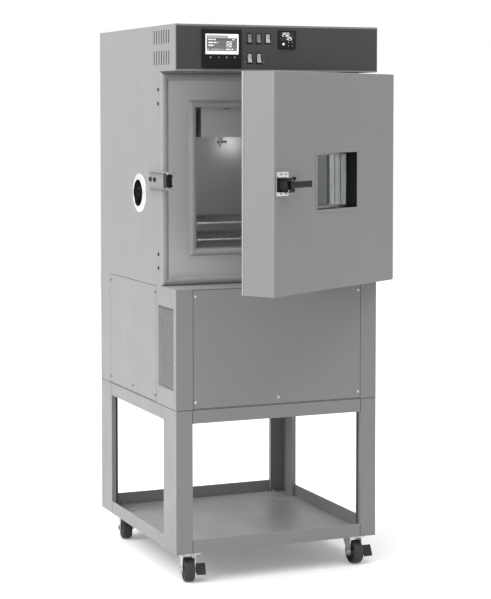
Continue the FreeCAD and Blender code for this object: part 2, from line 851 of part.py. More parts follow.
def side_sheet(side):
    """One side of the wrapper, its two upright outer edges softened."""
    sheet = box(side * half_w, side * inner_x, shell_front, shell_back, base_top, body_top)
    edges = []
    for edge in sheet.Edges:
        upright = abs(edge.Vertexes[0].Z - edge.Vertexes[-1].Z) > 1
        if upright and abs(edge.CenterOfMass.x - side * half_w) < 0.01:
            edges.append(edge)
    return sheet.makeFillet(0.9 * wall, edges)


rear_ring = box(-inner_x, inner_x, flange_y, shell_back, shell_low, shell_high)
rear_hole = box(
    -half_w + rear_flange, half_w - rear_flange, flange_y - 1, shell_back + 1,
    base_top + rear_flange, body_top - rear_flange,
)
roof = box(-inner_x, inner_x, shell_front, shell_back, shell_high, body_top)
floor = box(-inner_x, inner_x, shell_front, shell_back, base_top, shell_low)
line_holes = []
for line_x in (evaporator_left, evaporator_right):
    line_holes.append(bar(V(line_x, line_y, base_top - 2 * deck_sheet), UP, pipe_hole, 4 * deck_sheet))
shaft_clear = bar(V(fan_x, fan_y, space_top - 2), UP, shaft_hole, body_top - space_top + 4 * wall, 8)

# rear cover over the service bay
rear_cover_edge = 20.0
cover = box(
    -half_w + rear_cover_edge, half_w - rear_cover_edge, shell_back, half_d,
    base_top + rear_cover_edge / 2, body_top - rear_cover_edge / 2,
)
cover_holes_from = len(screw_holes)
cover_screw_x = half_w - rear_cover_edge - 10.0
for x in (-cover_screw_x, cover_screw_x):
    for z in (base_top + rear_cover_edge, body_top - rear_cover_edge):
        add_screw(V(x, half_d, z), BACK)
cover_holes = screw_holes[cover_holes_from:]
covers.append(cut_all(cover, cover_holes))
save("access_panels", covers)

# dark screws of the side walls, the hinge leaves and the keeper
dark_screws = []
dark_holes = []


def add_dark(at, direction, length, head=dark_head, rise=dark_rise, shank=dark_shank):
    dark_screws.append(screw(at, direction, head, rise, shank, length))
    dark_holes.append(screw_hole(at, direction, shank, length))


bolt_reach = keeper_sheet + dark_length
side_bolt_z = (body_top - 48.0, body_top - 85.0, base_top + 83.5, base_top + 47.1)
leaf_bolt_y = shell_front + 34.5
for z in side_bolt_z:
    add_dark(V(-half_w, shell_front + 14.5, z), -RIGHT, dark_length)
    add_dark(V(half_w + leaf_thick, leaf_bolt_y, z), RIGHT, leaf_thick + dark_length)
for y in (face_y + 37.1, face_y + 70.3):
    add_dark(V(-half_w - keeper_sheet, y, latch_z), -RIGHT, bolt_reach, 6.5, 4.5, 3.5)
save("body_screws", dark_screws)
port_from = V(-half_w - 5, port_y, port_z)
port_to = V(-space_half_x + 3, port_y, port_z)
port_clear = rod(port_from, port_to, port_outer)
shell_parts = [
    cut_all(side_sheet(-1), [port_clear] + dark_holes), cut_all(side_sheet(1), dark_holes),
    cut_all(roof, [shaft_clear]), cut_all(floor, line_holes),
    cut_all(rear_ring, [rear_hole] + cover_holes),
]
save("body_shell", shell_parts)

# chamber body: stainless front face
face = box(-half_w + 0.5, half_w - 0.5, face_y, shell_front, base_top + 0.5, body_top - 0.5)
mouth = box(-space_half_x, space_half_x, face_y - 1, shell_front + 1, space_bottom, space_top)
save("front_face", face.cut(mouth))

# workspace liner
skin_x = space_half_x + liner_sheet
skin_low = space_bottom - liner_sheet
skin_high = space_top + liner_sheet
skin_back = space_back + liner_sheet
liner = box(-skin_x, skin_x, shell_front, skin_back, skin_low, skin_high)
liner_tools = [
    box(-space_half_x, space_half_x, shell_front - 1, space_back, space_bottom, space_top),
    port_clear, shaft_clear,
]
wall_pipes = []
for line_x in (evaporator_left, evaporator_right):
    wall_pipes.append(bar(
        V(line_x, space_back - 4, evaporator_z), BACK, line_radius + hole_gap, foam_back - space_back + 8
    ))
save("workspace_liner", cut_all(liner, liner_tools + wall_pipes))

# insulation slabs packed between the wrapper and the liner
left_slab = box(-inner_x, -skin_x, shell_front, foam_back, shell_low, shell_high)
right_slab = box(skin_x, inner_x, shell_front, foam_back, shell_low, shell_high)
top_slab = box(-skin_x, skin_x, shell_front, foam_back, skin_high, shell_high)
bottom_slab = box(-skin_x, skin_x, shell_front, foam_back, shell_low, skin_low)
back_slab = box(-skin_x, skin_x, skin_back, foam_back, skin_low, skin_high)
save("body_foam", [
    cut_all(left_slab, [port_clear] + dark_holes), cut_all(right_slab, dark_holes),
    top_slab.cut(shaft_clear), bottom_slab, cut_all(back_slab, wall_pipes),
])


# gaskets on the front face, swept round with mitred corners
def gasket(half_x, low, high, half_width, height):
    """Half-round bulb swept along a rectangle; half_x, low and high give the centre line."""
    z = (low + high) / 2
    start = V(-half_x, face_y, z)
    path = Part.makePolygon([
        start, V(-half_x, face_y, low), V(half_x, face_y, low), V(half_x, face_y, high),
        V(-half_x, face_y, high), start,
    ])
    foot = 2.5
    a = V(-half_x - half_width, face_y, z)
    b = V(-half_x - half_width, face_y - foot, z)
    top = V(-half_x, face_y - height, z)
    c = V(-half_x + half_width, face_y - foot, z)
    d = V(-half_x + half_width, face_y, z)
    section = Part.Wire([
        Part.LineSegment(a, b).toShape(), Part.Arc(b, top, c).toShape(),
        Part.LineSegment(c, d).toShape(), Part.LineSegment(d, a).toShape(),
    ])
    return path.makePipeShell([section], True, False, 1)


bulb = door_gap - running_gap
outer_bulb = 10.4
inner_bulb = 9.4
save("door_gaskets", [
    gasket(
        half_w - outer_bulb - 0.8, base_top + outer_bulb + 0.9, body_top - outer_bulb - 3.1,
        outer_bulb, bulb,
    ),
    gasket(
        space_half_x + inner_bulb + 2.1, space_bottom - inner_bulb - 1.6, space_top + inner_bulb + 0.1,
        inner_bulb, bulb,
    ),
])

# cable port: tube through the wall, a ring outside and a ring inside
bore = rod(port_from - RIGHT, port_to + RIGHT, port_inner)
at_wall = V(-half_w, port_y, port_z)
at_liner = V(-space_half_x, port_y, port_z)
tube_length = (port_to - port_from).Length
barrel_half = port_outer - 2 * running_gap
barrel = turned([(barrel_half, 0), (barrel_half, tube_length)], 24)
collar = turned([(port_ring, 0), (port_ring, 1.5), (port_ring - 2, port_ring_thick)], 24)
inside_ring = turned([(port_inside_ring, 0), (port_inside_ring, panel_sheet)], 24)
port = fuse_all([
    aimed(barrel, port_from, RIGHT), aimed(collar, at_wall, -RIGHT), aimed(inside_ring, at_liner, RIGHT),
])
save("cable_port", port.cut(bore))

# keeper: channel on the left side that runs forward beside the shut door
keeper_y0 = front_y + 1
keeper_y1 = face_y + 82
stop_y = front_y + 50
keeper_x = -half_w - keeper_proud
keeper_parts = [box(-half_w - keeper_sheet, -half_w, front_y + 86, keeper_y1, keeper_bottom, keeper_top)]
for z in (keeper_bottom, keeper_top - keeper_sheet):
    keeper_parts.append(box(keeper_x, -half_w, keeper_y0, keeper_y1, z, z + keeper_sheet))
keeper_parts.append(box(keeper_x, -half_w, stop_y, stop_y + keeper_sheet, keeper_bottom, keeper_top))
save("keeper_bracket", cut_all(fuse_all(keeper_parts), dark_holes))
strike_low = keeper_bottom + 5
strike_high = keeper_top - 6
strike_x = -half_w - 7
strike = box(keeper_x - 2, -half_w, stop_y - 25, stop_y, strike_low, strike_high)
roller_pin = bar(
    V(strike_x, stop_y - 13, keeper_bottom + keeper_sheet), UP, 5, keeper_height - 2 * keeper_sheet, 8
)
ears = []
for z in (strike_low + 2, strike_high - 7):
    ears.append(box(-half_w - 4, -half_w, stop_y - 30, stop_y - 25, z, z + 5))
save("keeper_strike", fuse_all([strike, roller_pin] + ears))

# plenum hanging under the ceiling, with slotted sides and a round intake
plenum = box(-plenum_half_x, plenum_half_x, plenum_front, space_back, plenum_bottom, space_top)
intake_radius = 46.0
plenum_tools = [
    box(
        -plenum_half_x + liner_sheet, plenum_half_x - liner_sheet,
        plenum_front + liner_sheet, space_back + 1,
        plenum_bottom + liner_sheet, space_top + 1,
    ),
    turned(
        [(intake_radius, plenum_bottom - 1), (intake_radius, plenum_bottom + 3)], 20
    ).translate(V(fan_x, fan_y, 0)),
]
slot_step = (plenum_drop - 11.3) / plenum_slot_rows
for side in (-1, 1):
    x = side * plenum_half_x
    for row in range(plenum_slot_rows):
        z = plenum_bottom + 7 + slot_step * row
        plenum_tools.append(
            box(x - side * 3, x + side, plenum_front + 12, space_back - 16, z, z + slot_step / 2)
        )
save("air_plenum", cut_all(plenum, plenum_tools))

# evaporator inside the plenum
evaporator_front = plenum_front + 25.5
fins_front = plenum_front + 50.5
fins_back = space_back - 30.5
fin_x0 = evaporator_left - 16
fin_x1 = evaporator_right + 16
evaporator_parts = [tube([
    V(evaporator_left, stub_end, evaporator_z), V(evaporator_left, evaporator_front, evaporator_z),
    V(evaporator_right, evaporator_front, evaporator_z), V(evaporator_right, stub_end, evaporator_z),
], line_radius, 12)]
fin_pitch = (fins_back - fins_front - fin_thick) / (evaporator_fins - 1)
for index in range(evaporator_fins):
    y = fins_front + fin_pitch * index
    evaporator_parts.append(box(fin_x0, fin_x1, y, y + fin_thick, evaporator_z - 26, evaporator_z + 24))
for x in (fin_x0, fin_x1 - panel_sheet):
    evaporator_parts.append(box(x, x + panel_sheet, fins_front, fins_back, evaporator_z - 26, space_top))
save("evaporator", fuse_all(evaporator_parts))

# heater loop in the plenum and the probe clipped below it
heater_x = plenum_half_x - 45
heater_z = plenum_bottom + 41
heater_front = plenum_front + 40.5
heater = tube([
    V(heater_x - 20, space_back, heater_z), V(heater_x - 20, heater_front, heater_z),
    V(heater_x + 20, heater_front, heater_z), V(heater_x + 20, space_back, heater_z),
], line_radius, 10)
probe_x = fan_x - 80
probe_y = fan_y - 20
probe_z = plenum_bottom - 15
clip = box(probe_x - 12, probe_x + 12, probe_y - 6, probe_y + 6, plenum_bottom - 2, plenum_bottom)
stem = bar(V(probe_x, probe_y, probe_z), UP, 2.5, 14)
probe = bar(V(probe_x - 14, probe_y, probe_z), RIGHT, 3.2, 28)
save("heater_and_probe", [heater, fuse_all([clip, stem, probe])])

# circulation fan: motor in the control head, wheel in the plenum, shaft between them
motor_floor = body_top + wall
motor_flange = 3.0
motor_height = 80.0
shaft_bore = 60.0
fan_motor = fuse_all([
    prism(cut_corners(-55, 55, -55, 55, 8), "z", 0, motor_flange),
    turned([(45, motor_flange), (45, motor_height), (30, motor_height + 8)], 20),
]).translate(V(fan_x, fan_y, motor_floor))
shaft_socket = bar(V(fan_x, fan_y, motor_floor - 1), UP, shaft_radius + running_gap, shaft_bore + 1, 8)
save("fan_motor", fan_motor.cut(shaft_socket))
fan_vanes = 8
wheel_low = plenum_bottom + 8
shaft_from = wheel_low + 20
shaft_to = motor_floor + shaft_bore - 1
fan_pieces = [
    turned([(50, wheel_low + 38), (50, wheel_low + 40)], 20),
    turned([(11, shaft_from), (11, wheel_low + 40)], 10),
    Part.makeCylinder(shaft_radius, shaft_to - shaft_from, V(0, 0, shaft_from)),
]
for index in range(fan_vanes):
    vane = box(34, 49, -0.8, 0.8, wheel_low, wheel_low + 38.5)
    vane.rotate(V(42, 0, 0), UP, 35)
    fan_pieces.append(vane.rotate(ORIGIN, UP, 360.0 / fan_vanes * index))
rim = turned([(50, wheel_low), (50, wheel_low + 2)], 20)
rim = rim.cut(turned([(35, wheel_low - 1), (35, wheel_low + 3)], 20))
save("circulation_fan", fuse_all(fan_pieces + [rim]).translate(V(fan_x, fan_y, 0)))

# shelf angles on the side walls
upper_shelf_z = space_bottom + upper_shelf_rise
lower_shelf_z = space_bottom + lower_shelf_rise
rod_flat = shelf_rod * math.cos(math.pi / 6)
angle_y0 = face_y + 15
angle_y1 = space_back - 3
supports = []
for shelf_z in (upper_shelf_z, lower_shelf_z):
    top = shelf_z - rod_flat - running_gap
    section = [(0, top - 12), (1.5, top - 12), (1.5, top - 1.5), (14, top - 1.5), (14, top), (0, top)]
    angle = prism([(a - space_half_x, z) for a, z in section], "y", angle_y0, angle_y1)
    supports += [angle, angle.mirror(ORIGIN, RIGHT)]
save("shelf_angles", supports)

# wire shelves
shelf_half_x = space_half_x - shelf_side_gap
shelf_front = face_y + shelf_setback
shelf_back = shelf_front + shelf_depth


def wire_shelf(level, pitch, count):
    """Closed rod frame with thin wires welded across its top."""
    x = shelf_half_x
    start = V(0, shelf_front, level)
    frame_rod = tube([
        start, V(x, shelf_front, level), V(x, shelf_back, level), V(-x, shelf_back, level),
        V(-x, shelf_front, level), start,
    ], shelf_rod, shelf_bend * 0.6)
    pieces = [frame_rod]
    wire_flat = wire_radius * math.cos(math.pi / 6)
    wire_z = level + rod_flat + wire_flat - weld_sink
    for index in range(count):
        wire_x = (index - (count - 1) / 2) * pitch
        wire = [V(wire_x, shelf_front - 1, wire_z), V(wire_x, shelf_back + 1, wire_z)]
        pieces.append(tube(wire, wire_radius))
    return fuse_all(pieces)


save("shelf_upper", wire_shelf(upper_shelf_z, upper_wire_pitch, upper_wire_count))
save("shelf_lower", wire_shelf(lower_shelf_z, lower_wire_pitch, lower_wire_count))

# hinges: leaf and lower knuckle on the body, leaf and upper knuckle on the door
body_hinges = []
door_hinges = []
leaf_end = hinge_x + 4
for z in (base_top + hinge_low, body_top - hinge_high):
    low = z - leaf_half
    high = z + leaf_half
    leaf = box(half_w, half_w + leaf_thick, hinge_y + 10, face_y + 72, low, high)
    arm = box(half_w, leaf_end, hinge_y + 5, hinge_y + 13, low, z - running_gap)
    knuckle = bar(V(hinge_x, hinge_y, low), UP, knuckle_radius, leaf_half - running_gap, 12)
    pin = Part.makeCylinder(pin_radius, leaf_half - 3, V(hinge_x, hinge_y, z - 1))
    body_hinges.append(cut_all(fuse_all([leaf, arm, knuckle, pin]), dark_holes))
    leaf = box(door_right, door_right + leaf_thick, door_inner - 62, door_inner - 3, low, high)
    arm = box(door_right, leaf_end, hinge_y - 13, hinge_y - 5, z + running_gap, high)
    knuckle = bar(V(hinge_x, hinge_y, z + running_gap), UP, knuckle_radius, leaf_half - running_gap, 12)
    part = fuse_all([leaf, arm, knuckle])
    socket = Part.makeCylinder(pin_radius + running_gap, leaf_half - 2, V(hinge_x, hinge_y, z))
    door_hinges.append(opened(part.cut(socket)))
save("hinges_body", body_hinges)
save("hinges_door", door_hinges)

# door: painted outer pan, stainless inner pan and insulation
seam_y = door_inner - door_liner_flange
pan = box(door_left, door_right, door_outer, seam_y - seam, door_bottom, door_top)
front_edges = [e for e in pan.Edges if abs(e.CenterOfMass.y - door_outer) < 0.01]
pan = pan.makeChamfer(0.5 * door_bend, front_edges)
hollow = box(
    door_left + wall, door_right - wall, door_outer + wall, seam_y, door_bottom + wall, door_top - wall
)
sleeve_outer = box(
    window_left - sleeve_wall, window_right + sleeve_wall, door_outer - 1, door_inner + 1,
    window_bottom - sleeve_wall, window_top + sleeve_wall,
)
save("door_shell", opened(cut_all(pan, [hollow, sleeve_outer])))
inner_pan = box(door_left, door_right, seam_y, door_inner, door_bottom, door_top)
inner_hollow = box(
    door_left + liner_sheet, door_right - liner_sheet, seam_y - 1, door_inner - liner_sheet,
    door_bottom + liner_sheet, door_top - liner_sheet,
)
save("door_liner", opened(cut_all(inner_pan, [inner_hollow, sleeve_outer])))
door_foam = box(
    door_left + wall, door_right - wall, door_outer + wall, door_inner - liner_sheet,
    door_bottom + wall, door_top - wall,
)
save("door_foam", opened(door_foam.cut(sleeve_outer)))

# window: dark sleeve with a narrow trim in front and behind
glass_hole = box(window_left, window_right, door_outer - 5, door_inner + 5, window_bottom, window_top)
sleeve = box(
    window_left - sleeve_wall, window_right + sleeve_wall, door_outer, door_inner,
    window_bottom - sleeve_wall, window_top + sleeve_wall,
)
trims = []
for y0, y1 in ((door_outer - trim_thick, door_outer), (door_inner, door_inner + trim_thick)):
    trims.append(box(
        window_left - trim_width, window_right + trim_width, y0, y1,
        window_bottom - trim_width, window_top + trim_width,
    ))
save("window_frame", opened(fuse_all([sleeve] + trims).cut(glass_hole)))
panes = []
spacers = []
spacer_width = 6.0
for index in range(pane_count):
    y0 = door_outer + first_pane + pane_pitch * index
    y1 = y0 + pane_thick
    y2 = y0 + pane_pitch
    panes.append(opened(box(window_left, window_right, y0, y1, window_bottom, window_top)))
    if index < pane_count - 1:
        ring = box(window_left, window_right, y1, y2, window_bottom, window_top)
        clear = box(
            window_left + spacer_width, window_right - spacer_width, y1 - 1, y2 + 1,
            window_bottom + spacer_width, window_top - spacer_width,
        )
        spacers.append(opened(ring.cut(clear)))
save("window_panes", panes)
save("window_spacers", spacers)

# latch: plate with four screws, housing with its pin, and the turning bar handle
plate_front = door_outer - latch_plate_thick
plate_x0 = door_left + 6
plate_x1 = door_left + 60
plate_z0 = latch_z - 28.7
plate_z1 = latch_z + 31.8
outline = cut_corners(plate_x0, plate_x1, plate_z0, plate_z1, 3)
latch_parts = [opened(prism(outline, "y", plate_front, door_outer))]
for x in (door_left + 25.7, door_left + 48.1):
    for z in (plate_z0 + 4.2, plate_z1 - 4.2):
        dome = turned([(3.2, 0), (2.6, 0.9), (1.2, 1.5)], 8)
        latch_parts.append(opened(aimed(dome, V(x, plate_front, z), -BACK)))
save("latch_plate", latch_parts)
latch_front = door_outer - latch_deep
housing_right = door_left + 47
housing = box(door_left + 12, housing_right, latch_front, plate_front, latch_z - 18.7, latch_z + 18)
front_edges = [e for e in housing.Edges if abs(e.CenterOfMass.y - latch_front) < 0.01]
housing = housing.makeChamfer(2.2, front_edges)
slot_half = handle_half + running_gap
slot = box(
    latch_pivot_x - 11.5, housing_right + 3, latch_front - 1, latch_pivot_y + 11,
    latch_z - slot_half, latch_z + slot_half,
)
latch_pin_foot = V(latch_pivot_x, latch_pivot_y, latch_z - 2 * handle_half)
latch_pin = Part.makeCylinder(2.5, 4 * handle_half, latch_pin_foot)
save("latch_housing", opened(fuse_all([housing.cut(slot), latch_pin])))
bar_front = latch_front - 2
bar_end = door_left + handle_reach
hub = turned([(8, latch_z - handle_half), (8, latch_z + handle_half)], 12)
hub = hub.translate(V(latch_pivot_x, latch_pivot_y, 0))
handle_outline = [
    (latch_pivot_x, latch_pivot_y), (latch_pivot_x, bar_front + 4), (latch_pivot_x + 4, bar_front),
    (bar_end - 2, bar_front), (bar_end, bar_front + 2), (bar_end, bar_front + handle_thick - 2),
    (bar_end - 2, bar_front + handle_thick), (latch_pivot_x + 9, bar_front + handle_thick),
    (latch_pivot_x + 9, latch_pivot_y),
]
handle_bar = prism(handle_outline, "z", latch_z - handle_half, latch_z + handle_half)
pin_hole = Part.makeCylinder(
    2.5 + running_gap, 4 * handle_half, V(latch_pivot_x, latch_pivot_y, latch_z - 2 * handle_half)
)
save("latch_handle", opened(fuse_all([hub, handle_bar]).cut(pin_hole)))

# control head: floor, slotted side sheets, rear sheet, front frame, and the lid with its lip
case_top = head_top - lid_sheet
front_inner = front_y + frame_wall


def head_side(side):
    """Side sheet of the head with two rows of upright slots."""
    x = side * half_w
    sheet = box(x, side * inner_x, front_y, half_d, body_top, case_top)
    edges = []
    for edge in sheet.Edges:
        upright = abs(edge.Vertexes[0].Z - edge.Vertexes[-1].Z) > 1
        if upright and abs(edge.CenterOfMass.x - x) < 0.01:
            edges.append(edge)
    sheet = sheet.makeFillet(sheet_bend, edges)
    tools = []
    for column in range(slot_columns):
        y = front_y + slot_first + slot_pitch * column
        half = slot_width / 2
        for low, high in ((body_top + 16, body_top + 54), (body_top + 71, body_top + 108.5)):
            outline = cut_corners(y - half, y + half, low, high, 0.6 * half)
            tools.append(prism(outline, "x", x - side * 2 * wall, x + side * wall))
    return cut_all(sheet, tools)


case_floor = box(-inner_x, inner_x, front_y, half_d, body_top, body_top + wall)
case_rear = box(-inner_x, inner_x, half_d - wall, half_d, body_top + wall, case_top)
front_frame = box(-inner_x, inner_x, front_y, front_inner, body_top + wall, case_top)
frame_tools = [
    box(
        panel_left - running_gap, panel_right + running_gap, front_y - 1, front_y + panel_thick,
        panel_bottom - running_gap, panel_top + running_gap,
    ),
    box(
        panel_left + panel_lap, panel_right - panel_lap, front_y - 1, front_inner + 1,
        panel_bottom + 0.4 * panel_lap, panel_top - 0.4 * panel_lap,
    ),
]
lid = box(-half_w, half_w, front_y, half_d, case_top, head_top)
lip_out = wall + running_gap
lip_front = frame_wall + running_gap
lip_x = half_w - lip_out
lip_y0 = front_y + lip_front
lip_y1 = half_d - lip_out
lip_low = case_top - lid_lip
lips = []
for side in (-1, 1):
    x = side * lip_x
    lips.append(box(x, x - side * liner_sheet, lip_y0, lip_y1, lip_low, case_top))
lips.append(box(-lip_x + liner_sheet, lip_x - liner_sheet, lip_y0, lip_y0 + liner_sheet, lip_low, case_top))
lips.append(box(-lip_x + liner_sheet, lip_x - liner_sheet, lip_y1 - liner_sheet, lip_y1, lip_low, case_top))
lid_from = len(screw_holes)
lid_screw_x = half_w - lid_screw_edge
lid_screw_y = front_y + lid_screw_front
for x in (-lid_screw_x, lid_screw_left, lid_screw_right, lid_screw_x):
    add_screw(V(x, lid_screw_y, head_top), UP)
for x in (-lid_screw_x, lid_screw_x):
    for y in (front_y + lid_screw_middle, front_y + lid_screw_rear):
        add_screw(V(x, y, head_top), UP)
lid_holes = screw_holes[lid_from:]
save("head_case", [
    head_side(-1), head_side(1), case_floor.cut(shaft_clear), case_rear, cut_all(front_frame, frame_tools),
    cut_all(lid, lid_holes),
] + [cut_all(lip, lid_holes) for lip in lips])
save("panel_screws", panel_screws)

# control panel with its cut-outs
controller_x = (-218.4, -108.5)
controller_z = (panel_top - 108.3, panel_top - 7.6)
controller_proud = 6.0
controller_inset = (4.0, 5.0)
limit_x = (-2.0, 47.2)
limit_z = (panel_top - 57.0, panel_top - 7.6)
limit_proud = 5.0
limit_inset = (2.0, 2.0)
panel = box(panel_left, panel_right, front_y, front_y + panel_thick, panel_bottom, panel_top)
panel_tools = []
for xs, zs, inset in ((controller_x, controller_z, controller_inset), (limit_x, limit_z, limit_inset)):
    panel_tools.append(box(
        xs[0] + inset[0], xs[1] - inset[0], front_y - 1, front_y + 5, zs[0] + inset[1], zs[1] - inset[1]
    ))
rocker_well_x = rocker_half_x + running_gap + rocker_wall
rocker_well_z = rocker_frame_z - 1.2
for x, z in rocker_places.values():
    panel_tools.append(box(
        x - rocker_well_x, x + rocker_well_x, front_y - 1, front_y + 5, z - rocker_well_z, z + rocker_well_z
    ))
save("control_panel", cut_all(panel, panel_tools))


# panel instruments: bezel in front, housing through the cut-out
def instrument(xs, zs, proud, inset, deep, screen):
    bezel = box(xs[0], xs[1], front_y - proud, front_y, zs[0], zs[1])
    front_edges = [e for e in bezel.Edges if abs(e.CenterOfMass.y - front_y + proud) < 0.01]
    bezel = bezel.makeChamfer(min(1.2, 0.3 * proud), front_edges)
    body = box(
        xs[0] + inset[0], xs[1] - inset[0], front_y, front_y + deep, zs[0] + inset[1], zs[1] - inset[1]
    )
    x0, x1, z0, z1 = screen
    pocket = box(x0, x1, front_y - proud - 1, front_y - proud + 1, z0, z1)
    return fuse_all([bezel, body]).cut(pocket)


screen = (controller_x[0] + 8.0, controller_x[1] - 9.1, controller_z[0] + 35.7, controller_z[1] - 12.5)
controller = instrument(controller_x, controller_z, controller_proud, controller_inset, 72, screen)
key_z = controller_z[0] + 27.6
key_face = front_y - controller_proud - 0.6
keys = []
for dx in (21.4, 44.6, 67.2, 89.5):
    x = controller_x[0] + dx
    keys.append(box(x - 5.5, x + 5.5, key_face, key_face + 1, key_z - 5, key_z + 5))
save("controller", fuse_all([controller] + keys))
screen = (limit_x[0] + 4.5, limit_x[1] - 4.5, limit_z[0] + 22.0, limit_z[1] - 4.4)
limit = instrument(limit_x, limit_z, limit_proud, limit_inset, 80, screen)
key_face = front_y - limit_proud - 0.6
keys = []
for dx in (28.0, 39.0):
    for dz in (17.7, 8.6):
        x = limit_x[0] + dx
        z = limit_z[0] + dz
        keys.append(box(x - 3.2, x + 3.2, key_face, key_face + 1, z - 2.6, z + 2.6))
save("limit_controller", fuse_all([limit] + keys))


# rocker switches
def rocker_frame(x, z):
    flange = box(
        x - rocker_frame_x, x + rocker_frame_x, front_y - 1.5, front_y,
        z - rocker_frame_z, z + rocker_frame_z
    )
    well = box(
        x - rocker_well_x, x + rocker_well_x, front_y, front_y + 16, z - rocker_well_z, z + rocker_well_z
    )
    room_x = rocker_half_x + running_gap
    room_z = rocker_well_z - 0.9
    room = box(x - room_x, x + room_x, front_y - 3, front_y + 14, z - room_z, z + room_z)
    pin_x = rocker_half_x + 0.7
    pin = rod(V(x - pin_x, rocker_pivot_y, z), V(x + pin_x, rocker_pivot_y, z), rocker_pin)
    return fuse_all([fuse_all([flange, well]).cut(room), pin])


def rocker(x, z):
    outline = [(-5.5, 11.3), (-3.6, 0), (-5.5, -11.3), (1.5, -11.0), (4.5, -4), (4.5, 4), (1.5, 11.0)]
    key_outline = [(rocker_pivot_y + a, z + b) for a, b in outline]
    key = prism(key_outline, "x", x - rocker_half_x, x + rocker_half_x)
    pivot = bar(V(x - 7, rocker_pivot_y, z), RIGHT, rocker_pin + running_gap, 14, 8)
    return key.cut(pivot).rotate(V(x, rocker_pivot_y, z), RIGHT, -rocker_tilt)


save("rocker_frames", [rocker_frame(x, z) for x, z in rocker_places.values()])
for name, (x, z) in rocker_places.items():
    save(name, rocker(x, z))
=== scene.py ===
import bpy
import math
import numpy as np
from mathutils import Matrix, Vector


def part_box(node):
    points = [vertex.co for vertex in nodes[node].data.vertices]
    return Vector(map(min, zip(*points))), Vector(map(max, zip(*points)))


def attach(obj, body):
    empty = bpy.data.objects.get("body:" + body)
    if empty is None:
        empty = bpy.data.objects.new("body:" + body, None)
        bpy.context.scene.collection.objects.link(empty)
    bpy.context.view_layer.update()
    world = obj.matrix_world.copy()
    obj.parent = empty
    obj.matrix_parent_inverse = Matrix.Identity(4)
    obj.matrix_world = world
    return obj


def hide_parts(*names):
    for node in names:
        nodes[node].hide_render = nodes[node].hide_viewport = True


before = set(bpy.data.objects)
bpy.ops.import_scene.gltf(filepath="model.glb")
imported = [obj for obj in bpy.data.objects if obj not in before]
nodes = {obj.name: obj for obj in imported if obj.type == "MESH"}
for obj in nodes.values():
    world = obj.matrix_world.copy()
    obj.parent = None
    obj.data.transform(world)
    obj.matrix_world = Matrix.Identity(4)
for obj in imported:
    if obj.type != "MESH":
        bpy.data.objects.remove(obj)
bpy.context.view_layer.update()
print("frame loaded:", len(nodes), "nodes")


class Wire:  # a shader socket that takes part in ordinary sums
    def __init__(self, graph, socket):
        self.graph = graph
        self.socket = socket

    def sum(self, operation, *values):
        return self.graph.add("Math", dict(enumerate(values)), operation=operation)

    def __add__(self, other):
        return self.sum("ADD", self, other)

    def __radd__(self, other):
        return self.sum("ADD", other, self)

    def __sub__(self, other):
        return self.sum("SUBTRACT", self, other)

    def __rsub__(self, other):
        return self.sum("SUBTRACT", other, self)

    def __mul__(self, other):
        return self.sum("MULTIPLY", self, other)

    def __rmul__(self, other):
        return self.sum("MULTIPLY", other, self)

    def __lt__(self, other):
        return self.sum("LESS_THAN", self, other)

    def __gt__(self, other):
        return self.sum("GREATER_THAN", self, other)


class Graph:  # the nodes of one material, or of the world
    def __init__(self, name, owner=None):
        self.owner = owner or bpy.data.materials.new(name)
        self.owner.use_nodes = True
        self.tree = self.owner.node_tree
        self.tree.nodes.clear()

    def add(self, kind, values=None, output=0, **settings):  # one node: settings first, then its inputs
        node = self.tree.nodes.new("ShaderNode" + kind)
        for key, value in settings.items():
            setattr(node, key, value)
        for key, value in (values or {}).items():
            if isinstance(value, Wire):
                self.tree.links.new(value.socket, node.inputs[key])
            else:
                node.inputs[key].default_value = value
        return Wire(self, node.outputs[output]) if node.outputs else None

    def outputs(self, wire, keys):  # more outputs of the node that a wire comes from
        return [Wire(self, wire.socket.node.outputs[key]) for key in keys]

    def spot(self):  # object coordinates
        return self.add("TexCoord", output=3)

    def place(self, scale, turn=(0, 0, 0)):  # object coordinates, stretched and turned
        return self.add("Mapping", {"Vector": self.spot(), "Scale": scale, "Rotation": turn})

    def axes(self):  # x, y and z of the object coordinates as three wires
        return self.outputs(self.add("SeparateXYZ", {0: self.spot()}), (0, 1, 2))

    def noise(self, scale, detail=3.0, rough=0.5, vector=None):
        return self.add("TexNoise", {
            "Vector": vector or self.spot(), "Scale": scale, "Detail": detail, "Roughness": rough,
        })

    def span(self, value, low, high, start=0.0, end=1.0):  # low..high carried to start..end, clamped
        return self.add("MapRange", {0: value, 1: low, 2: high, 3: start, 4: end})

    def blend(self, mask, first, second):  # a colour between two, as the mask goes from 0 to 1
        return self.add("Mix", {0: mask, 6: first, 7: second}, output=2, data_type="RGBA")

    def seenDirectly(self):  # 1 for rays from the camera, off a gloss or through a pane, else 0
        kinds = ("Is Camera Ray", "Is Glossy Ray", "Is Transmission Ray")
        camera, gloss, pane = self.outputs(self.add("LightPath"), kinds)
        return pane.sum("MAXIMUM", gloss.sum("MAXIMUM", camera, gloss), pane)

    def bump(self, height, depth):
        return self.add("Bump", {"Strength": 1.0, "Distance": depth, "Height": height})

    def finish(self, **values):  # the surface shader and its output
        names = {
            "color": "Base Color", "rough": "Roughness", "metal": "Metallic", "normal": "Normal",
            "glow": "Emission Color", "glowPower": "Emission Strength", "clear": "Transmission Weight",
            "ior": "IOR", "specular": "Specular IOR Level", "sheen": "Sheen Weight",
        }
        surface = self.add("BsdfPrincipled", {names[key]: value for key, value in values.items()})
        self.add("OutputMaterial", {"Surface": surface})
        return self.owner


def rgb(grey, warm=0.0):  # a near-neutral colour from one linear grey
    return (grey * (1 + warm), grey, grey * (1 - warm), 1)


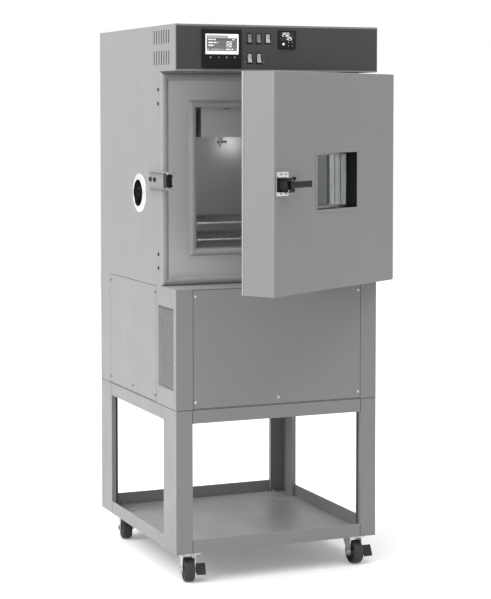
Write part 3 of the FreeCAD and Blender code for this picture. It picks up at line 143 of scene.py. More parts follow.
# painted sheet: enamel with a fine grain, faint clouding, upright streaks and small rubbed specks
enamel = {"grey": 0.30, "warm": 0.002, "rough": 0.42, "grain": 0.00006, "cloud": 0.04, "streak": 0.02,
          "fleck": 0.03, "speck": 0.2}


def makeEnamel(name, grey):
    g = Graph(name)
    cloud = g.noise(5.0, 4, 0.6)
    grain = g.noise(900.0, 2, 0.6)
    streak = g.noise(3.0, 5, 0.65, g.place((9, 9, 0.7)))
    tone = (cloud - 0.5) * enamel["cloud"] + (streak - 0.5) * enamel["streak"]
    tone = tone + (grain - 0.5) * enamel["fleck"] + 0.5
    color = g.blend(tone, rgb(grey * 0.86, enamel["warm"]), rgb(grey * 1.14, enamel["warm"]))
    speck = g.span(g.noise(60.0, 5, 0.7), 0.735, 0.76)
    color = g.blend(speck * enamel["speck"], color, rgb(grey * 0.6))
    height = g.noise(420.0, 3, 0.55) + g.noise(1500.0, 2, 0.5) * 0.4
    rough = g.span(g.noise(12.0, 4), 0.3, 0.7, enamel["rough"] - 0.05, enamel["rough"] + 0.08)
    return g.finish(color=color, rough=rough, normal=g.bump(height, enamel["grain"]), specular=0.45)


# stainless sheet: long brush lines along one axis, cloudy wiping marks and a few scratches
def makeStainless(name, grey, along, rough, metal=0.92):
    g = Graph(name)
    lines = g.noise(26.0, 4, 0.7, g.place(along))
    cloud = g.noise(7.0, 5, 0.6)
    scratch = g.span(g.noise(30.0, 2, 0.5, g.place((1, 24, 3), (0.3, 0.2, 0.7))), 0.70, 0.73)
    color = g.blend(lines, rgb(grey * 0.84), rgb(grey * 1.12))
    color = g.blend(cloud * 0.25, color, rgb(grey * 0.75, 0.01))
    shine = g.span(lines, 0.2, 0.8, rough - 0.07, rough + 0.12) + cloud * 0.1 + scratch * 0.1
    normal = g.bump(lines + scratch * 0.4, 0.00003)
    return g.finish(color=color, rough=shine, metal=metal, normal=normal)


# bright plated steel: smooth with fine mottling and a dull bloom in patches
def makePlated(name, grey, rough, metal=1.0):
    g = Graph(name)
    mottle = g.noise(160.0, 4, 0.6)
    bloom = g.span(g.noise(38.0, 4, 0.6), 0.45, 0.75)
    color = g.blend(mottle * 0.6 + bloom * 0.4, rgb(grey * 1.08), rgb(grey * 0.74, 0.02))
    shine = g.span(mottle, 0.25, 0.75, rough - 0.03, rough + 0.06) + bloom * 0.12
    return g.finish(color=color, rough=shine, metal=metal, normal=g.bump(mottle, 0.00002))


# moulded plastic or rubber: fine pebble texture, handling shine and pale scuffs
def makeMoulded(name, grey, rough, pebble=0.00005, scuff=0.25, warm=0.0, specular=0.5):
    g = Graph(name)
    fine = g.noise(1100.0, 2, 0.6)
    cloud = g.noise(24.0, 4, 0.6)
    mark = g.span(g.noise(70.0, 5, 0.75), 0.64, 0.74)
    color = g.blend(cloud, rgb(grey * 0.85, warm), rgb(grey * 1.15, warm))
    color = g.blend(mark * scuff, color, rgb(min(0.7, grey * 2 + 0.04), warm))
    shine = g.span(cloud, 0.3, 0.7, rough - 0.06, rough + 0.08) + mark * 0.08
    return g.finish(color=color, rough=shine, normal=g.bump(fine, pebble), specular=specular)


# fibrous insulation: matted strands and clumps
def makeFibre(name):
    g = Graph(name)
    strands = g.noise(240.0, 5, 0.7, g.place((1, 3, 6)))
    clumps = g.noise(26.0, 4, 0.6)
    color = g.blend(strands * 0.6 + clumps * 0.4, (0.52, 0.44, 0.25, 1), (0.80, 0.74, 0.55, 1))
    return g.finish(color=color, rough=0.95, normal=g.bump(strands + clumps, 0.001), sheen=0.2)


# clear pane: a little smeared, faintly tinted
def makePane(name):
    g = Graph(name)
    smear = g.noise(14.0, 5, 0.65)
    shine = g.span(smear, 0.35, 0.75, 0.0, 0.06)
    color = g.blend(smear, (0.90, 0.914, 0.909, 1), (0.85, 0.864, 0.859, 1))
    return g.finish(color=color, rough=shine, clear=1.0, ior=1.18, normal=g.bump(smear, 0.00001))


# bare copper tube, browned in patches
def makeCopper(name):
    g = Graph(name)
    patch = g.noise(40.0, 5, 0.65)
    color = g.blend(patch, (0.50, 0.22, 0.12, 1), (0.78, 0.42, 0.26, 1))
    shine = g.span(patch, 0.3, 0.7, 0.25, 0.5)
    return g.finish(color=color, rough=shine, metal=1.0, normal=g.bump(patch, 0.00003))


# plain greys with their roughness, metal share and texture
finishes = {
    "enamel": makeEnamel("cabinetEnamel", enamel["grey"]),
    "stainless": makeStainless("faceStainless", 0.56, (1, 60, 60), 0.34),
    "liner": makeStainless("linerStainless", 0.60, (60, 60, 1), 0.34, 0.72),
    "zinc": makePlated("zincPlate", 0.62, 0.30, 0.8),
    "chrome": makePlated("chromePlate", 0.66, 0.1),
    "ring": makePlated("portRingPlate", 0.84, 0.24, 0.8),
    "blackSteel": makePlated("blackOxide", 0.03, 0.42, 0.6),
    "black": makeMoulded("blackPlastic", 0.010, 0.42, specular=0.2),
    "tread": makeMoulded("wheelRubber", 0.03, 0.6, 0.0001, 0.4, 0.02),
    "gasket": makeMoulded("gasketRubber", 0.40, 0.62, 0.00004, 0.06, 0.004),
    "fibre": makeFibre("insulationFibre"),
    "pane": makePane("windowPane"),
    "aluminium": makePlated("millAluminium", 0.55, 0.36),
    "copper": makeCopper("copperTube"),
    "machine": makeEnamel("machineEnamel", 0.02),
    "paintedScrew": makeEnamel("paintedScrew", 0.16),
    "doorLiner": makeStainless("doorLinerStainless", 0.36, (60, 60, 1), 0.42, 0.8),
    "film": makeMoulded("panelFilm", 0.052, 0.48, 0.00003, 0.06),
    "rocker": makeMoulded("rockerPlastic", 0.58, 0.3, 0.00002, 0.1, 0.004),
    # a darker copy of the same rocker plastic: painted shade on the upper row's left and middle rockers
    "rockerShaded": makeMoulded("rockerShadedPlastic", 0.24, 0.34, 0.00002, 0.1, 0.004),
    # near-black matte that paints shade, in the joint gaps and behind the perforated screens
    "joint": makeMoulded("jointShadow", 0.03, 0.9, 0.00002, 0.0, 0.0, 0.1),
}
nodeFinish = {
    "stand_frame": "enamel", "stand_tray": "enamel", "caster_plates": "zinc", "base_frame": "enamel",
    "access_panels": "enamel", "power_inlet": "black", "compressor": "machine", "condenser": "machine",
    "refrigerant_lines": "copper", "panel_screws": "zinc", "body_shell": "enamel",
    "body_screws": "blackSteel", "front_face": "stainless", "workspace_liner": "liner",
    "body_foam": "fibre", "door_gaskets": "gasket", "cable_port": "chrome", "keeper_bracket": "enamel",
    "keeper_strike": "black", "air_plenum": "liner", "evaporator": "aluminium",
    "heater_and_probe": "zinc", "fan_motor": "machine", "shelf_angles": "liner", "hinges_body": "zinc",
    "head_case": "enamel", "control_panel": "film", "controller": "black", "limit_controller": "black",
    "rocker_frames": "black", "door_shell": "enamel", "door_liner": "doorLiner", "door_foam": "fibre",
    "window_frame": "black", "window_panes": "pane", "window_spacers": "aluminium",
    "latch_plate": "chrome", "latch_housing": "black", "hinges_door": "zinc", "condenser_fan": "black",
    "circulation_fan": "aluminium", "latch_handle": "black", "shelf_upper": "zinc",
    # the upper row's left and middle rockers take the darker copy, which paints their shade
    "shelf_lower": "zinc", "vent_screens": "enamel", "rocker_upper_left": "rockerShaded",
    "rocker_upper_middle": "rockerShaded",
}
familyFinish = {
    "rocker_": "rocker", "caster_fork": "zinc", "caster_wheel": "tread", "brake_lever": "blackSteel",
}
for name, node in nodes.items():
    kind = nodeFinish.get(name)
    if kind is None:  # nodes that come in sets are named by their first words
        kind = [found for start, found in familyFinish.items() if name.startswith(start)][0]
    if not node.material_slots:
        node.data.materials.append(finishes[kind])
    for place in node.material_slots:
        place.material = finishes[kind]
print("finishes on the packed nodes")


def meshPiece(name, points, faces, body, finish, slot, smooth=True):
    mesh = bpy.data.meshes.new(name)
    mesh.from_pydata(np.asarray(points, float).tolist(), [], faces)
    mesh.update()
    if smooth:
        mesh.shade_smooth()
    piece = bpy.data.objects.new(name, mesh)
    bpy.context.scene.collection.objects.link(piece)
    mesh.materials.append(finish)
    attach(piece, body)
    return piece


def gridFaces(rows, columns, closeRows=False, closeColumns=False):
    # quads between neighbours of a rows x columns grid of points, optionally joined end to end
    r = np.arange(rows if closeRows else rows - 1)
    c = np.arange(columns if closeColumns else columns - 1)
    r, c = np.meshgrid(r, c, indexing="ij")
    start, nextStart = r * columns, (r + 1) % rows * columns
    beside = (c + 1) % columns
    corners = [start + c, start + beside, nextStart + beside, nextStart + c]
    return np.stack(corners, -1).reshape(-1, 4).tolist()


def slab(spans, lift, corner, steps=5):
    # rounded rectangle in X and Z, standing forward of a plane: its outline goes round four quarter circles
    x0, x1, z0, z1 = spans
    back, front = lift
    turn = np.linspace(0, math.pi / 2, steps)
    arcs = []
    for cx, cz, first in ((x1 - corner, z1 - corner, 0), (x0 + corner, z1 - corner, 1),
                          (x0 + corner, z0 + corner, 2), (x1 - corner, z0 + corner, 3)):
        angle = turn + first * math.pi / 2
        arcs.append(np.stack([cx + corner * np.cos(angle), cz + corner * np.sin(angle)], -1))
    ring = np.concatenate(arcs)
    count = len(ring)
    soft = min(0.25 * corner, 0.3 * abs(front - back)) + 1e-6
    middle = ring.mean(0)
    inner = middle + (ring - middle) * (1 - soft / np.abs(ring - middle).max())
    rings = [(back, ring), (front + soft, ring), (front, inner)]
    points = np.concatenate([np.column_stack([r[:, 0], np.full(count, y), r[:, 1]]) for y, r in rings])
    faces = [face[::-1] for face in gridFaces(3, count, closeColumns=True)]
    faces.append(list(range(count)))
    faces.append(list(range(2 * count, 3 * count))[::-1])
    return points, faces


def slabPiece(name, spans, lift, corner, body, finish, slot):
    return meshPiece(name, *slab(spans, lift, corner), body, finish, slot, smooth=False)


def joinPieces(name, parts, body, finish, slot, smooth=False):
    # several (points, faces) sets in one mesh
    points, faces, start = [], [], 0
    for p, f in parts:
        points.append(np.asarray(p, float))
        faces += [[k + start for k in face] for face in f]
        start += len(p)
    return meshPiece(name, np.concatenate(points), faces, body, finish, slot, smooth)


def plate(outline, y0, y1):
    # flat shape in X and Z drawn from y0 back to y1; the outline runs anticlockwise seen from the front
    x, z = np.asarray(outline, float).T
    count = len(x)
    points = np.concatenate([np.column_stack([x, np.full(count, y), z]) for y in (y0, y1)])
    faces = [list(range(count)), list(range(count, 2 * count))[::-1]]
    faces += [[k, k + count, (k + 1) % count + count, (k + 1) % count] for k in range(count)]
    return points, faces


# seven-bar figures: which bars each sign lights, and each bar's two ends as shares of the width and height
litBars = {"0": "abcdef", "1": "bc", "2": "abged", "5": "afgcd"}
barEnds = {"a": ((0, 1), (1, 1)), "b": ((1, 1), (1, 0.5)), "c": ((1, 0.5), (1, 0)), "d": ((0, 0), (1, 0)),
           "e": ((0, 0.5), (0, 0)), "f": ((0, 1), (0, 0.5)), "g": ((0, 0.5), (1, 0.5))}
figure = {"width": 0.52, "bar": 0.075, "gap": 1.2, "step": 1.55, "dot": 0.3}


def digitBars(text, x, z, height, y0, y1):
    # each lit bar is a flat six-cornered plate with pointed ends; a dot is a small square
    wide = height * figure["width"]
    bar = height * figure["bar"]
    parts = []
    for letter in text:
        if letter == ".":
            left = x - wide * figure["dot"]
            right, top = left + 2 * bar, z + 2 * bar
            parts.append(plate([(left, z), (right, z), (right, top), (left, top)], y0, y1))
            continue
        for name in litBars[letter]:
            a, b = np.array(barEnds[name]) * (wide, height) + (x, z)
            along = (b - a) / np.linalg.norm(b - a) * bar
            across = np.array([-along[1], along[0]])
            a, b = a + along * figure["gap"], b - along * figure["gap"]
            outline = [a - along, a - across, b - across, b + along, b + across, a + across]
            parts.append(plate(outline, y0, y1))
        x += wide * figure["step"]
    return parts


def words(text, x, z, height, y):
    # plain lettering as a flat mesh just off the panel, centred on x
    curve = bpy.data.curves.new("lettering", "FONT")
    curve.body = text
    curve.size = height * 1.4
    curve.align_x = "CENTER"
    curve.resolution_u = 2
    holder = bpy.data.objects.new("lettering", curve)
    bpy.context.scene.collection.objects.link(holder)
    bpy.context.view_layer.update()
    mesh = bpy.data.meshes.new_from_object(holder)
    flat = np.zeros(len(mesh.vertices) * 3)
    mesh.vertices.foreach_get("co", flat)
    flat = flat.reshape(-1, 3)
    points = np.column_stack([flat[:, 0] + x, np.full(len(flat), y), flat[:, 1] + z])
    faces = [list(polygon.vertices) for polygon in mesh.polygons]
    bpy.data.objects.remove(holder)
    return points, faces


# display of the main controller: a lit picture with title bars and lines, two readings in figures
display = {"x": (-0.2104, -0.1176), "z": (1.3924, 1.4449), "floor": -0.3175, "thick": 0.0005,
           "corner": 0.0012, "glow": 0.85}
reading = {"text": "25.0", "x": -0.1512, "rows": (1.4192, 1.4112), "height": 0.0066,
           "y": (-0.31815, -0.3179)}

# the picture's rectangles as left, right, top and bottom, measured from its upper left corner
displayFields = (
    ((0.0028, 0.0893, 0.0033, 0.0443), 0.125), ((0.0040, 0.0890, 0.0120, 0.0172), 0.085),
    ((0.0400, 0.0835, 0.0255, 0.0268), 0.06), ((0.0039, 0.0643, 0.0036, 0.0108), 0.30),
    ((0.0643, 0.0900, 0.0030, 0.0105), 0.94),
)
brightLines = ((0.0062, 0.0287, 0.0133, 0.0161), (0.0081, 0.0362, 0.0210, 0.0240),
               (0.0081, 0.0242, 0.0282, 0.0312), (0.0750, 0.0818, 0.0133, 0.0158),
               (0.0573, 0.0784, 0.0385, 0.0412))
faintLines = ((0.0039, 0.0101, 0.0385, 0.0412), (0.0166, 0.0416, 0.0387, 0.0410),
              (0.0469, 0.0495, 0.0385, 0.0412), (0.0854, 0.0882, 0.0385, 0.0412))


def makeDisplayFinish():
    g = Graph("displayPicture")
    x, _, z = g.axes()
    left, top = display["x"][0], display["z"][1]

    def patch(x0, x1, z0, z1):
        return (x > left + x0) * (x < left + x1) * (z > top - z1) * (z < top - z0)

    def patches(spans):
        total = patch(*spans[0])
        for span in spans[1:]:
            total = total + patch(*span)
        return total

    broken = g.span(g.noise(1.0, 2, 0.5, g.place((900, 1, 40))), 0.44, 0.46)
    tone = rgb(0.94)
    for span, grey in displayFields:
        tone = g.blend(patch(*span), tone, rgb(grey))
    tone = g.blend(patches(brightLines) * broken, tone, rgb(0.90))
    tone = g.blend(patches(faintLines) * broken, tone, rgb(0.45))
    shine = g.span(g.noise(2600.0, 1, 0.5), 0.3, 0.7, 0.22, 0.3)
    return g.finish(color=tone, rough=shine, glow=tone, glowPower=display["glow"], specular=0.3)


def makeFigureFinish():
    g = Graph("litFigures")
    color = g.blend(g.noise(1800.0, 2), rgb(0.86), rgb(0.95))
    return g.finish(color=color, rough=0.4, glow=rgb(0.9), glowPower=0.8)


def makeSmokedFinish():
    g = Graph("smokedWindow")
    haze = g.noise(60.0, 3)
    return g.finish(color=g.blend(haze, rgb(0.010), rgb(0.016)), rough=g.span(haze, 0.3, 0.7, 0.12, 0.2))


def makeMarkFinish():
    g = Graph("printedMark")
    return g.finish(color=g.blend(g.noise(900.0, 2), rgb(0.48), rgb(0.66)), rough=0.5)


litFigures = makeFigureFinish()
lift = (display["floor"], display["floor"] - display["thick"])
slabPiece("displayFace", (*display["x"], *display["z"]), lift, display["corner"], "cabinet",
          makeDisplayFinish(), "black_plastic")
parts = []
for z in reading["rows"]:
    parts += digitBars(reading["text"], reading["x"], z, reading["height"], *reading["y"])
joinPieces("displayReadings", parts, "cabinet", litFigures, "black_plastic")


def dome(x, z, radius, y, height, rings=5, sides=20):
    # spherical cap: radius times cosine and height times sine of the ring's angle
    angle = np.linspace(0, math.pi / 2, rings)[:-1]
    turn = np.arange(sides) * 2 * math.pi / sides
    a, t = np.meshgrid(angle, turn, indexing="ij")
    cap = [x + radius * np.cos(a) * np.cos(t), y - height * np.sin(a), z + radius * np.cos(a) * np.sin(t)]
    points = np.concatenate([np.stack(cap, -1).reshape(-1, 3), [[x, y - height, z], [x, y, z]]])
    top, foot = len(points) - 2, len(points) - 1
    last = (rings - 2) * sides
    faces = [face[::-1] for face in gridFaces(rings - 1, sides, closeColumns=True)]
    for k in range(sides):
        n = (k + 1) % sides
        faces += [[last + n, top, last + k], [foot, n, k]]
    return points, faces


def triangle(x, z, size, turn, y0, y1):
    # three corners on a circle, starting at the turn angle
    angle = turn + np.arange(3) * 2 * math.pi / 3
    return plate(np.column_stack([x + size * np.cos(angle), z + size * np.sin(angle)]), y0, y1)


# limit controller: a smoked window with two rows of figures, and a lit lamp below it
limit = {"x": (0.0025, 0.0427), "z": (1.4300, 1.4530), "floor": -0.3165, "thick": 0.0004, "corner": 0.001,
         "y": (-0.3171, -0.3168)}
limitRows = (("25.0", 0.0092, 1.4420, 0.0085), ("125", 0.0185, 1.4318, 0.0078))
limitLamp = {"x": 0.0117, "z": 1.421, "radius": 0.0032, "y": -0.3175, "rise": 0.0008}
lift = (limit["floor"], limit["floor"] - limit["thick"])
slabPiece("limitWindow", (*limit["x"], *limit["z"]), lift, limit["corner"], "cabinet", makeSmokedFinish(),
          "black_plastic")
parts = []
for row in limitRows:
    parts += digitBars(*row, *limit["y"])
joinPieces("limitFigures", parts, "cabinet", litFigures, "black_plastic")
shape = dome(limitLamp["x"], limitLamp["z"], limitLamp["radius"], limitLamp["y"], limitLamp["rise"])
joinPieces("limitLamp", [shape], "cabinet", litFigures, "black_plastic")

# printed marks of the keys below the display and on the limit controller: x, z, size and quarter turns
markFinish = makeMarkFinish()
marks = {"displayY": (-0.31925, -0.3190), "limitY": (-0.3182, -0.3180), "limitSize": 0.0020,
         "limitX": (0.026, 0.037), "limitRows": ((1.4257, 1), (1.4166, -1))}
displayKeys = ((-0.197, 1.3840, 0.0030, 1), (-0.1738, 1.3843, 0.0022, 1.5), (-0.1512, 1.3843, 0.0030, 0),
               (-0.1289, 1.3846, 0.0030, -1))
parts = [triangle(x, z, size, turn * math.pi / 2, *marks["displayY"]) for x, z, size, turn in displayKeys]
for x in marks["limitX"]:
    parts += [triangle(x, z, marks["limitSize"], turn * math.pi / 2, *marks["limitY"])
              for z, turn in marks["limitRows"]]
joinPieces("keyMarks", parts, "cabinet", markFinish, "black_plastic")

# labels of the rocker switches
label = {"y": -0.31256, "number": 0.0026, "state": 0.0024}
numbers = (("1", -0.0837, 1.4155), ("2", -0.058, 1.4155), ("3", -0.0319, 1.4155),
           ("4", -0.0837, 1.3622), ("5", -0.0571, 1.3622))
states = (("ON", -0.0965, 1.3925), ("OFF", -0.0970, 1.3715), ("ON", -0.0445, 1.3925),
          ("OFF", -0.0440, 1.3715))
parts = [words(*spot, label["number"], label["y"]) for spot in numbers]
parts += [words(*spot, label["state"], label["y"]) for spot in states]
joinPieces("panelLabels", parts, "cabinet", markFinish, "panel_film")
print("control head fittings")


def outward(points, faces):
    # signed volume from each face's fan of triangles; when it is negative every face is turned round
    points = np.asarray(points, float)
    fans = [(face[0], face[k], face[k + 1]) for face in faces for k in range(1, len(face) - 1)]
    a, b, c = points[np.array(fans)].transpose(1, 0, 2)
    inside = np.sum(a * np.cross(b, c)) < 0
    return points, ([face[::-1] for face in faces] if inside else faces)


def squareTo(direction):
    # the direction as a unit vector, and two unit vectors square to it
    direction = np.array(direction, float) / np.linalg.norm(direction)
    helper = np.array([0, 0, 1.0]) if abs(direction[2]) < 0.9 else np.array([1.0, 0, 0])
    side = np.cross(helper, direction)
    side /= np.linalg.norm(side)
    return direction, side, np.cross(direction, side)


def endFaces(rows, sides):
    # the two flat ends of a tube of rows x sides points
    return [list(range(sides)), list(range((rows - 1) * sides, rows * sides))[::-1]]


def lathe(profile, at, direction, sides, loop=True):
    # turned piece: each (radius, height) pair becomes a circle round the axis; a loop closes on itself
    direction, side, up = squareTo(direction)
    profile = np.asarray(profile, float)
    turn = np.arange(sides) * 2 * math.pi / sides
    circle = np.cos(turn)[:, None] * side + np.sin(turn)[:, None] * up
    points = (np.asarray(at, float) + profile[:, 1, None, None] * direction
              + profile[:, 0, None, None] * circle[None]).reshape(-1, 3)
    faces = gridFaces(len(profile), sides, closeRows=loop, closeColumns=True)
    if not loop:
        faces += endFaces(len(profile), sides)
    return outward(points, faces)


def legs(corners):
    # a closed outline's corners, unit vectors from each to the ones before and after it, and the distances
    here = np.asarray(corners, float)
    ways = np.stack([np.roll(here, 1, 0), np.roll(here, -1, 0)]) - here
    lengths = np.linalg.norm(ways, axis=2, keepdims=True)
    return here, ways / lengths, lengths


def softProfile(corners, radius, steps=3):
    # each corner of a closed (radius, height) outline becomes a short quadratic curve through its two legs
    here, ways, lengths = legs(corners)
    first, last = (here + ways * np.minimum(radius, 0.45 * lengths))[:, :, None]
    t = np.linspace(0, 1, steps)[:, None]
    return ((1 - t) ** 2 * first + 2 * t * (1 - t) * here[:, None] + t ** 2 * last).reshape(-1, 2)


def roundedPath(corners, radius, steps=6):
    # closed path with each corner replaced by points of a quarter turn that touches both of its legs
    here, ways, _ = legs(corners)
    before, after = ways[:, :, None]
    angle = np.linspace(0, math.pi / 2, steps)[:, None]
    path = here[:, None] + radius * (before * (1 - np.sin(angle)) + after * (1 - np.cos(angle)))
    return path.reshape(-1, 3)


def pipe(path, radius, sides=10, closed=False):
    # round bar along a path: circles stand on the plane halfway between the two directions at each point
    path = np.asarray(path, float)
    if closed:
        ahead = np.roll(path, -1, 0) - path
    else:
        ahead = np.diff(path, axis=0)
        ahead = np.concatenate([ahead, ahead[-1:]])
    ahead /= np.linalg.norm(ahead, axis=1)[:, None]
    behind = np.roll(ahead, 1, 0)
    if not closed:
        behind[0] = ahead[0]
    facing = ahead + behind
    facing /= np.linalg.norm(facing, axis=1)[:, None]
    side = squareTo(facing[0])[1]
    turn = (np.arange(sides) * 2 * math.pi / sides)[:, None]
    rings = []
    for spot, way in zip(path, facing):
        side = side - way * side.dot(way)
        side /= np.linalg.norm(side)
        rings.append(spot + radius * (np.cos(turn) * side + np.sin(turn) * np.cross(way, side)))
    faces = gridFaces(len(path), sides, closeRows=closed, closeColumns=True)
    if not closed:
        faces += endFaces(len(path), sides)
    return outward(np.concatenate(rings), faces)


def crossHead(at, direction, radius, rise, rings=9, sides=24):
    # pan head: height falls with the fourth power of the distance, with a cross-shaped recess in the middle
    direction, side, up = squareTo(direction)
    turn = np.arange(sides) * 2 * math.pi / sides
    share, angle = np.meshgrid(np.arange(1, rings + 1) / rings, turn, indexing="ij")
    a, b = share * np.cos(angle), share * np.sin(angle)
    recess = (np.minimum(np.abs(a), np.abs(b)) < 0.13) & (share < 0.62)
    height = rise * (1 - 0.55 * share ** 4) - 0.5 * rise * recess
    a, b, height = [np.vstack(rows)[..., None] for rows in ([a, a[-1]], [b, b[-1]], [height, 0 * turn])]
    points = np.asarray(at) + direction * height + radius * (a * side + b * up)
    faces = gridFaces(rings + 1, sides, closeColumns=True) + endFaces(rings + 1, sides)
    return outward(points.reshape(-1, 3), faces)


def block(x0, x1, y0, y1, z0, z1, soft):
    # bevelled block: its eight corners three times over, drawn in by the bevel except along one axis
    low, high = np.array([x0, y0, z0], float), np.array([x1, y1, z1], float)
    upper = (np.arange(8)[:, None] >> np.arange(3) & 1) == 1
    full, drawn = np.where(upper, high, low), np.where(upper, high - soft, low + soft)
    points = np.concatenate([np.where(np.arange(3) == axis, full, drawn) for axis in range(3)])
    faces = [[corner, 8 + corner, 16 + corner] for corner in range(8)]
    for axis in range(3):
        b, c = [k for k in range(3) if k != axis]
        ring = (0, 1 << b, 1 << b | 1 << c, 1 << c)
        for end in (0, 1 << axis):
            faces.append([axis * 8 + (end | corner) for corner in ring])
        for near in ring:
            far = near | 1 << axis
            faces.append([b * 8 + near, b * 8 + far, c * 8 + far, c * 8 + near])
    middle = (low + high) / 2
    for k, face in enumerate(faces):
        p, q, r = points[face[:3]]
        if np.dot(np.cross(q - p, r - p), points[face].mean(0) - middle) < 0:
            faces[k] = face[::-1]
    return points, faces


swing = {"x": 0.3076, "y": -0.2026, "angle": 32.25}  # the hinge's place and how far the door stands open


def swung(part):
    # door pieces are drawn with the door shut and turned about the hinge by its standing angle
    points, faces = part
    turn = math.radians(swing["angle"])
    a, b = points[:, 0] - swing["x"], points[:, 1] - swing["y"]
    return np.column_stack([swing["x"] + a * math.cos(turn) - b * math.sin(turn),
                            swing["y"] + a * math.sin(turn) + b * math.cos(turn), points[:, 2]]), faces


# the cabinet's faces, from which the pieces below are placed
cabinet = {"side": 0.292, "front": -0.3125, "rear": 0.3125, "top": 1.47}

# screws of the covers: small pan heads with a cross recess; those of the side covers are painted over
coverScrew = {
    "radius": 0.0035, "rise": 0.0018, "front": 0.2373, "upper": 0.76, "lower": 0.481, "rear": 0.262,
    "rearZ": (0.7995, 1.329), "lidFront": -0.302, "lidEdge": 0.282, "lidX": (-0.282, -0.097, 0.09, 0.282),
    "lidY": (-0.094, 0.082), "sideY": (-0.1552, 0.0296, 0.2144),
}


def screwHeads(spots):
    return [crossHead(at, way, coverScrew["radius"], coverScrew["rise"]) for at, way in spots]


toFront, toRear, toTop = (0, -1, 0), (0, 1, 0), (0, 0, 1)
front, rear, top = cabinet["front"], cabinet["rear"], cabinet["top"]
upper, lower = coverScrew["upper"], coverScrew["lower"]
spots = [((0, front, lower), toFront)]
spots += [((x, coverScrew["lidFront"], top), toTop) for x in coverScrew["lidX"]]
for side in (-1, 1):
    x, rearX, lidX = [side * coverScrew[key] for key in ("front", "rear", "lidEdge")]
    spots += [((x, y, z), way) for y, way in ((front, toFront), (rear, toRear)) for z in (upper, lower)]
    spots += [((rearX, rear, z), toRear) for z in coverScrew["rearZ"]]
    spots += [((lidX, y, top), toTop) for y in coverScrew["lidY"]]
made = joinPieces("coverScrews", screwHeads(spots), "cabinet", finishes["zinc"], "zinc")
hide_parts("panel_screws")
first, centre, last = coverScrew["sideY"]
spots = []
for side in (-1, 1):
    spots += [((side * cabinet["side"], y, upper), (side, 0, 0)) for y in (first, last)]
    spots += [((side * cabinet["side"], y, lower), (side, 0, 0)) for y in (first, centre, last)]
joinPieces("sideScrews", screwHeads(spots), "cabinet", finishes["paintedScrew"], "cabinet_paint")

# dark screws of the side walls, and the keeper's two bolts with six-sided heads that are sunk in the middle
darkScrew = {"radius": 0.005, "rise": 0.0022, "z": (1.301, 1.264, 0.863, 0.8266), "left": (-0.292, -0.1825),
             "right": (0.295, -0.1625)}
keeperBolt = {"radius": 0.0065, "rise": 0.0045, "x": -0.294, "y": (-0.1614, -0.1282), "z": 1.0617}
parts = []
for z in darkScrew["z"]:
    for way, name in ((-1, "left"), (1, "right")):
        parts.append(crossHead((*darkScrew[name], z), (way, 0, 0), darkScrew["radius"], darkScrew["rise"]))
radius, rise = keeperBolt["radius"], keeperBolt["rise"]
profile = [(radius, 0), (radius, 0.75 * rise), (0.9 * radius, rise), (0.35 * radius, rise),
           (0.35 * radius, 0.5 * rise)]
for y in keeperBolt["y"]:
    parts.append(lathe(profile, (keeperBolt["x"], y, keeperBolt["z"]), (-1, 0, 0), 6, loop=False))
made = joinPieces("darkScrews", parts, "cabinet", finishes["blackSteel"], "dark_steel")
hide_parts("body_screws")
print("screws")

# joints: thin dark strips of painted shade in the gaps round the covers and between stand, machine
# compartment and rails
joint = {
    "gap": 0.0009, "over": 0.0003, "sunk": 0.0008, "proud": 0.00005, "half": 0.0007, "bevel": 0.00003,
    "standTop": 0.461, "sideEnd": 0.3085, "frontEnd": 0.288, "legFront": 0.2456, "legSide": 0.2168,
}
covers = {  # face, level, and the cover's edges along the face and in height
    "left": ("x", -cabinet["side"], -0.1615, 0.2270, 0.464, 0.7765),
    "right": ("x", cabinet["side"], -0.1615, 0.2270, 0.464, 0.7765),
    "front": ("y", cabinet["front"], -0.2436, 0.2436, 0.464, 0.7765),
    "rear": ("y", cabinet["rear"], -0.2436, 0.2436, 0.464, 0.7765),
    "rearUpper": ("y", cabinet["rear"], -0.272, 0.272, 0.7895, 1.339),
}


def strip(face, level, a0, a1, z0, z1):
    # strip on a side (x) or front and rear (y) face; a0..a1 runs along the other of the two
    inner = level - math.copysign(joint["sunk"], level)
    outer = level + math.copysign(joint["proud"], level)
    low, high = sorted((inner, outer))
    if face == "x":
        return block(low, high, a0, a1, z0, z1, joint["bevel"])
    return block(a0, a1, low, high, z0, z1, joint["bevel"])


parts = []
gap, over, half = joint["gap"], joint["over"], joint["half"]
for face, level, a0, a1, z0, z1 in covers.values():
    parts += [strip(face, level, a0 - gap, a1 + gap, z0 - gap, z0 + over),
              strip(face, level, a0 - gap, a1 + gap, z1 - over, z1 + gap),
              strip(face, level, a0 - gap, a0 + over, z0, z1),
              strip(face, level, a1 - over, a1 + gap, z0, z1)]
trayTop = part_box("stand_tray")[1][2]
standTop, legFront, legSide = joint["standTop"], joint["legFront"], joint["legSide"]
legJoints = ((0.080, trayTop), (0.425, standTop))  # where a leg meets the tray's lip and the top rail
for side in (-1, 1):
    sideX, faceY = side * cabinet["side"], side * cabinet["rear"]
    parts.append(strip("x", sideX, -joint["sideEnd"], joint["sideEnd"], standTop - half, standTop + half))
    parts.append(strip("y", faceY, -joint["frontEnd"], joint["frontEnd"], standTop - half, standTop + half))
    for z0, z1 in legJoints:
        for legX in (-legFront, legFront):
            parts.append(strip("y", faceY, legX - half, legX + half, z0, z1))
        parts.append(strip("x", sideX, legSide - half, legSide + half, z0, z1))
joinPieces("jointLines", parts, "cabinet", finishes["joint"], "cabinet_paint")
print("joints of the sheets")

